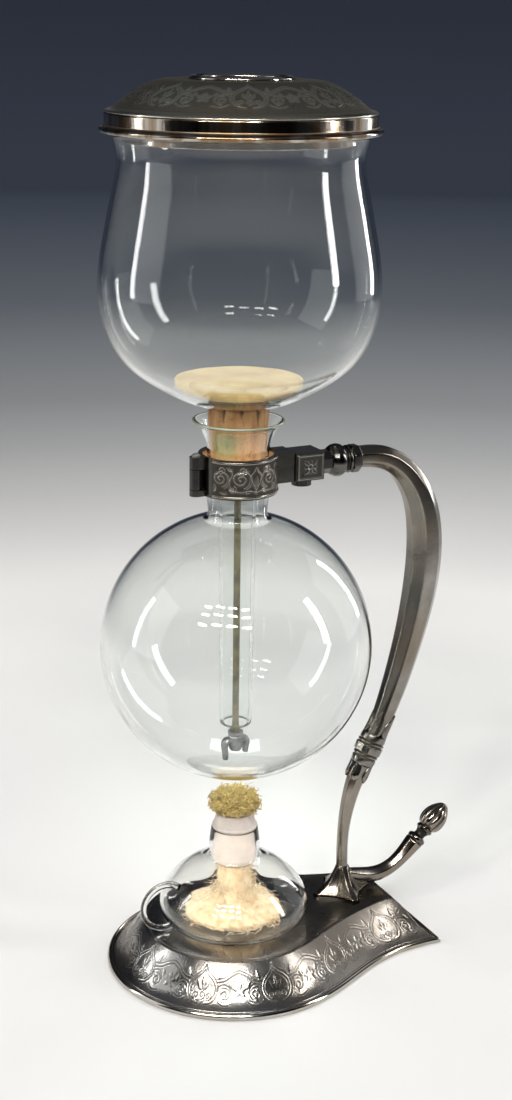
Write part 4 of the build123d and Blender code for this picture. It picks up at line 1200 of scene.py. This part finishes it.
def make_lid_cover():
    """Engraved dome between the band and the hole."""
    base, top = LID_BASE_Z, LID_TOP_Z
    step = [(54.6, base), (59.2, base), (58.9, base + 0.5), (58.2, base + 0.9), (57.0, base + 1.1),
            (56.3, base + 1.4), (55.6, base + 1.9)]
    slope = evenly(smooth([(55.2, base + 2.2), (50.0, base + 6.2), (43.6, top - 3.4), (39.0, top - 1.2),
                           (36.4, top - 0.45)], 12), 78)
    crown = [(35.6, top - 0.25), (35.0, top - 0.3), (34.2, top - 0.12), (30.0, top), (26.0, top),
             (21.9, top), (21.9, top - 1.1), (30.0, top - 1.2), (36.0, top - 1.7), (39.0, top - 2.5),
             (43.2, top - 4.7), (49.4, base + 4.9), (54.6, base + 0.6)]
    tiles, per_tile = 8, 128
    across = float(steps_of(slope).sum())
    height, dark = relief_on(tiles * per_tile, len(slope), tiles, across)
    outline = np.concatenate([step, slope, crown])
    rows = turned_rows(outline, tiles * per_tile)
    values = np.zeros(rows.shape[:2])
    for k, (run, rise) in enumerate(ways_along(slope)):
        row = len(step) + k
        rows[row, :, :2] *= (1 + height[k] * rise / slope[k, 0])[:, None]
        rows[row, :, 2] -= height[k] * run
        values[row] = np.clip(0.85 - 1.1 * dark[k] - 5.0 * np.maximum(height[k], 0), 0, 1)
    values[len(step) - 2:len(step)] = 0.7
    values[len(step) + len(slope):] = 0.85
    cover = grid("lid_dome", rows, wrap_rows=True, values=values)
    return piece(cover, OLIVE_SILVER, "lid", "silver_plate", "lid_cover")


def make_lid_ring():
    """Rolled ring and short sleeve in the hole of the lid."""
    r, top = LID_HOLE_R, LID_TOP_Z
    well = rounded([(r - 1.0, top - 12), (r, top - 12), (r, top - 1.1), (r + 1.4, top - 1.1), (r + 1.4, top),
                    (r + 2.2, top), (r + 2.2, top + 0.8), (r + 1.2, top + 1.7), (r, top + 1.7),
                    (r - 1.0, top + 0.8)], 0.4, 4)
    return piece(turned("lid_ring", well, TURNED_SEGMENTS), BAND_SILVER, "lid", "silver_plate", "lid_well")


# ---- Lamp's wick ----

HOLDER_TOP_Z = top_z("wick_holder")
TUFT_TOP_Z = top_z("wick")


def make_holder():
    """Porcelain wick tube: a tapered plug above the neck and a tube inside it."""
    low = foot_z("wick_holder")
    top = HOLDER_TOP_Z
    outline = rounded([(5.4, low), (8.4, low), (10.0, low + 1.6), (10.5, low + 4), (10.5, 70.9),
                       (11.1, 70.9), (11.1, 71.7), (10.3, 72.1), (8.9, top - 0.5), (8.3, top), (7.0, top),
                       (7.0, low + 3)], 0.45, 4)
    return piece(turned("porcelain_tube", outline, 128), PORCELAIN, "burner", "porcelain", "wick_holder")


def strand(path, radius, sides=5):
    """Points [step][side] of one thin strand that tapers along a path."""
    path = np.asarray(path, float)
    ways = np.gradient(path, axis=0)
    a = circle(sides)
    rows = []
    for k, (point, way) in enumerate(zip(path, ways)):
        way = way / np.linalg.norm(way)
        side = np.cross(way, (0.31, 0.84, 0.45))
        side /= np.linalg.norm(side)
        other = np.cross(way, side)
        thick = radius * (1.0 - 0.55 * k / (len(path) - 1))
        rows.append(point + thick * (np.outer(np.cos(a), side) + np.outer(np.sin(a), other)))
    return np.array(rows)


def strands_object(name, paths, radii, sides=5):
    """One object from many strands."""
    points, faces, start = [], [], 0
    for path, radius in zip(paths, radii):
        rows = strand(path, radius, sides)
        count = rows.shape[0] * rows.shape[1]
        for face in grid_faces(rows.shape[0], sides, False, True, caps=True):
            faces.append([start + k for k in face])
        points.append(rows.reshape(-1, 3))
        start += count
    return mesh_object(name, np.concatenate(points), faces)


def curl(rng, start, way, length, steps, wander, low=None):
    """A wandering path from a point."""
    path = [np.array(start, float)]
    way = np.array(way, float)
    for _ in range(steps):
        way = way / np.linalg.norm(way) + rng.normal(0, wander, 3)
        path.append(path[-1] + way / np.linalg.norm(way) * length / steps)
        if low is not None:
            path[-1][2] = max(path[-1][2], low)
    return path


def kept_in_bowl(points):
    """Points of the cotton drawn in so that they clear the glass while the burner is lifted."""
    reach = np.hypot(points[..., 0], points[..., 1])
    heights, widest = [24.0, 33.0, 41.5, 45.3, 48.5, 60.0], [26.5, 27.0, 21.5, 13.5, 9.2, 9.2]
    room = np.interp(points[..., 2], heights, widest)
    kept = points.copy()
    kept[..., :2] *= np.minimum(1, room / np.maximum(reach, 1e-6))[..., None]
    return kept


def make_tail(rng):
    """Soft mass of cotton that hangs from the tube and spreads over the bowl, with curling strands."""
    low = foot_z("lamp_font") + 3.0
    top = foot_z("wick_holder") + 4
    side = smooth([(4.6, top), (7.0, top - 5), (8.0, 43.0), (8.8, 37.5), (11.4, 33.8), (17.5, 30.4),
                   (23.0, 27.0), (22.0, low)], 8)
    outline = np.concatenate([[(0, top)], side, [(0, low)]])
    rows = turned_rows(outline, 120)
    a = circle(120)
    lumps = np.zeros(rows.shape[:2])
    for waves in (3, 5, 8, 13, 21, 34):
        turn, slant, rise = rng.uniform(0, 2 * pi), rng.uniform(-0.12, 0.12), rng.uniform(0.1, 0.5)
        phase = waves * (a[None, :] + slant * outline[:, 1:2]) + turn + rise * outline[:, 1:2]
        lumps += np.sin(phase) / waves ** 0.55
    rows[..., :2] *= (1 + 0.055 * lumps)[..., None]
    rows[..., 2] = np.maximum(rows[..., 2] + 0.5 * lumps * (outline[:, 1:2] < top - 1), low)
    rows = kept_in_bowl(rows)
    tail = grid("wick_tail", rows)
    paths, radii = [], []
    skin = rows[1:-2].reshape(-1, 3)
    for _ in range(900):
        start = skin[rng.integers(len(skin))]
        out = start * (1, 1, 0) / max(np.hypot(start[0], start[1]), 1e-6)
        lean = out * rng.uniform(0.2, 0.7) + (0, 0, -1) + rng.normal(0, 0.45, 3)
        path = np.array(curl(rng, start - out * 0.3, lean, rng.uniform(3.5, 9.0), 8, 0.42, low))
        paths.append(kept_in_bowl(path))
        radii.append(rng.uniform(0.14, 0.30))
    return joined(tail, [strands_object("strands", paths, radii, 4)])


def make_wick():
    """Frayed cotton tuft over the tube, and the tail of strands fanned out in the bowl."""
    rng = np.random.default_rng(SEED + 3)
    middle = np.array([0.0, 0.0, HOLDER_TOP_Z + 4.6])
    paths, radii = [], []
    for _ in range(1500):
        way = rng.normal(0, 1, 3)
        way /= np.linalg.norm(way)
        if way[2] < -0.35:
            way[2] = -way[2]
        reach = np.array([13.4, 13.4, 7.4]) * rng.uniform(0.72, 1.0)
        start = middle + way * reach * 0.86
        path = np.array(curl(rng, start, way + rng.normal(0, 0.7, 3), rng.uniform(2.4, 6.4), 6, 0.8))
        out = np.hypot(path[:, 0], path[:, 1])
        path[:, :2] *= np.minimum(1, 13.2 / np.maximum(out, 1e-6))[:, None]
        path[:, 2] = np.clip(path[:, 2], HOLDER_TOP_Z - 0.9, TUFT_TOP_Z - 0.2)
        paths.append(path)
        radii.append(rng.uniform(0.20, 0.42))
    tuft = strands_object("wick_tuft", paths, radii)
    low = [(0, HOLDER_TOP_Z - 2), (6.8, HOLDER_TOP_Z - 2), (7.0, HOLDER_TOP_Z + 0.3)]
    core = turned_rows(np.concatenate([low, arc(0, HOLDER_TOP_Z + 4.4, 6.2, -30, 90, 12)]), 48)
    core[..., :2] *= np.where(core[..., 2:] > HOLDER_TOP_Z + 0.5, 1.75, 1.0)
    joined(tuft, [grid("core", core)])
    mat = make_wick_cotton("wick_cotton", HOLDER_TOP_Z * MM)
    piece(tuft, mat, "burner", "cotton", "wick")
    piece(make_tail(rng), mat, "burner", "cotton")


# ---- CAD nodes that stay ----

def dress_cad_nodes():
    """Materials for the nodes whose CAD shape is shown as it is."""
    looks = {
        DARK_SILVER: ("foot_plate", "clamp_arm", "collar_front", "collar_rear", "clamp_screw"),
        STEEL: ("foot_stud", "foot_washer", "foot_nut", "handle_stud", "bead_stud", "hinge_pin",
                "filter_disc"),
        DARK_STEEL: ("thrust_washer",),
        BRONZE: ("filter_rod",),
        make_cork("liner_cork"): ("cork_liner_front", "cork_liner_rear"),
    }
    for mat, names in looks.items():
        for name in names:
            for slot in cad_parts[name].material_slots:
                slot.material = mat


# ---- Stage, light and camera ----

def make_stage():
    """Round floor that turns up into a wall, pale near the object; its darkening farther off and on the
    camera's side is painted shade.
    """
    bend_up = arc(3800, 700, 700, -90, 0, 10)
    line = np.concatenate([[(0, 0), (600, 0), (1500, 0), (2600, 0)], bend_up, [(4500, 3600)]])
    floor = grid("studio_floor", turned_rows(line, 96))
    mat = material("studio_paper", roughness=0.9)
    where = place(mat)
    away = node(mat, "VectorMath", {0: where}, operation="LENGTH").outputs["Value"]
    share = node(mat, "MapRange", {"Value": away, "From Max": 5.0}).outputs["Result"]
    # Painted shade: the colour darkens with distance from the object, up the wall to a dark blue grey.
    shade = ramp(mat, share, (0.05, (0.78, 0.775, 0.765)), (0.09, (0.87, 0.865, 0.845)),
                 (0.12, (0.90, 0.885, 0.86)), (0.176, (0.59, 0.585, 0.575)), (0.215, (0.43, 0.432, 0.43)),
                 (0.262, (0.305, 0.312, 0.32)), (0.41, (0.175, 0.195, 0.222)), (0.716, (0.19, 0.228, 0.30)),
                 (0.857, (0.10, 0.123, 0.18)), (0.892, (0.076, 0.092, 0.139)), (0.95, (0.048, 0.058, 0.085)))
    # Painted shade: beyond 0.9 m from the object, the floor and wall are darkened on the camera's side.
    behind = node(mat, "VectorMath", {0: where, 1: (*CAMERA_WAY, 0)}, operation="DOT_PRODUCT")
    values = {"Value": behind.outputs["Value"], "From Min": -0.9, "From Max": 0.1, "To Min": 0.2}
    front = node(mat, "MapRange", values, interpolation_type="SMOOTHSTEP")
    near = node(mat, "MapRange", {"Value": away, "From Min": 0.5, "From Max": 0.9})
    camera_side_shade = mixed(mat, near.outputs["Result"], (1, 1, 1), front.outputs["Result"])
    feed(mat, base_color=mixed(mat, 1.0, shade, camera_side_shade, "MULTIPLY"))
    dress(floor, mat)


def softbox(name, place_at, aim_at, width, height, watts, colour=(1, 1, 1), mirrored_by_plate=True):
    """Large soft area light, not seen by the camera itself."""
    lamp = bpy.data.lights.new(name, "AREA")
    lamp.shape = "RECTANGLE"
    lamp.size, lamp.size_y = width, height
    lamp.energy = watts
    lamp.color = colour
    obj = bpy.data.objects.new(name, lamp)
    obj.location = place_at
    obj.rotation_euler = (Vector(aim_at) - Vector(place_at)).to_track_quat("-Z", "Y").to_euler()
    obj.visible_camera = False
    obj.visible_glossy = mirrored_by_plate
    bpy.context.scene.collection.objects.link(obj)


KEY_ROWS, KEY_COLUMNS = 3, 4
KEY_WATTS = 5.6


def make_light():
    """Grid of small key lamps, soft panels at both sides, and a lamp for the wall behind."""
    world = bpy.data.worlds.new("studio")
    world.use_nodes = True
    sky = world.node_tree.nodes["Background"].inputs
    sky["Color"].default_value = (0.62, 0.66, 0.74, 1)
    sky["Strength"].default_value = 0.14
    bpy.context.scene.world = world
    for row in range(KEY_ROWS):
        for k in range(KEY_COLUMNS):
            spot = (-1.75 + 0.40 * k, -1.05 - 0.29 * k, 1.45 + 0.45 * row)
            softbox(f"key_{row}_{k}", spot, (0, 0, 0.15), 0.30, 0.07, KEY_WATTS, (1.0, 0.98, 0.95))
    softbox("fill", (1.6, -1.1, 0.9), (0, 0, 0.2), 0.22, 1.2, 14)
    softbox("left_edge", (-1.6, 0.9, 0.6), (0, 0, 0.25), 0.12, 1.1, 5)
    softbox("right_edge", (1.75, 0.5, 0.6), (0, 0, 0.25), 0.12, 1.1, 5)
    softbox("left_panel", (-1.7, 0.5, 0.7), (0, 0, 0.2), 1.0, 1.5, 4.5)
    softbox("right_panel", (1.8, 0.1, 0.7), (0, 0, 0.2), 1.0, 1.5, 2.6)
    softbox("window", (1.08, 2.14, 0.74), (0, 0, 0.02), 1.1, 0.5, 0.12)
    softbox("back", (0.7, 1.4, 2.2), (0.5, 1.0, 0), 1.2, 0.8, 16, (0.97, 0.98, 1.0), False)


CAMERA_AT = (-0.3471, -0.7092, 0.45315)
CAMERA_WAY = (0.4495, 0.8933)
CAMERA_DOWN = radians(17.054)
CAMERA_ROLL = radians(0.748)
LENS = 58.21
SENSOR_HEIGHT = 36.0


def make_camera():
    """Camera at the photograph's place, a little above the lid and looking down."""
    data = bpy.data.cameras.new("camera")
    data.sensor_fit = "VERTICAL"
    data.sensor_height = SENSOR_HEIGHT
    data.lens = LENS
    camera = bpy.data.objects.new("camera", data)
    ahead = Vector((CAMERA_WAY[0] * cos(CAMERA_DOWN), CAMERA_WAY[1] * cos(CAMERA_DOWN), -sin(CAMERA_DOWN)))
    right = ahead.cross(Vector((0, 0, 1))).normalized()
    up = right.cross(ahead)
    turn = Matrix((right, up, -ahead)).transposed().to_4x4()
    camera.matrix_world = Matrix.Translation(CAMERA_AT) @ turn @ Matrix.Rotation(CAMERA_ROLL, 4, "Z")
    bpy.context.scene.collection.objects.link(camera)
    bpy.context.scene.camera = camera


make_base()
make_border()
make_lower_stem()
make_handle()
make_knuckle()
make_cast_leaves()
make_spool()
make_acorn()
make_bead()
make_collar_band("collar_ornament_front", "stand", 205, 338)
make_collar_band("collar_ornament_rear", "collar_gate", 22, 155)
make_clamp_plate()
make_globe()
make_globe_lip()
make_funnel()
make_lamp()
make_stopper()
make_filter_cloth()
make_wing_nut()
make_lid_band()
make_lid_cover()
make_lid_ring()
make_holder()
make_wick()
dress_cad_nodes()
make_stage()
make_light()
make_camera()
bpy.context.scene.view_settings.view_transform = "Standard"
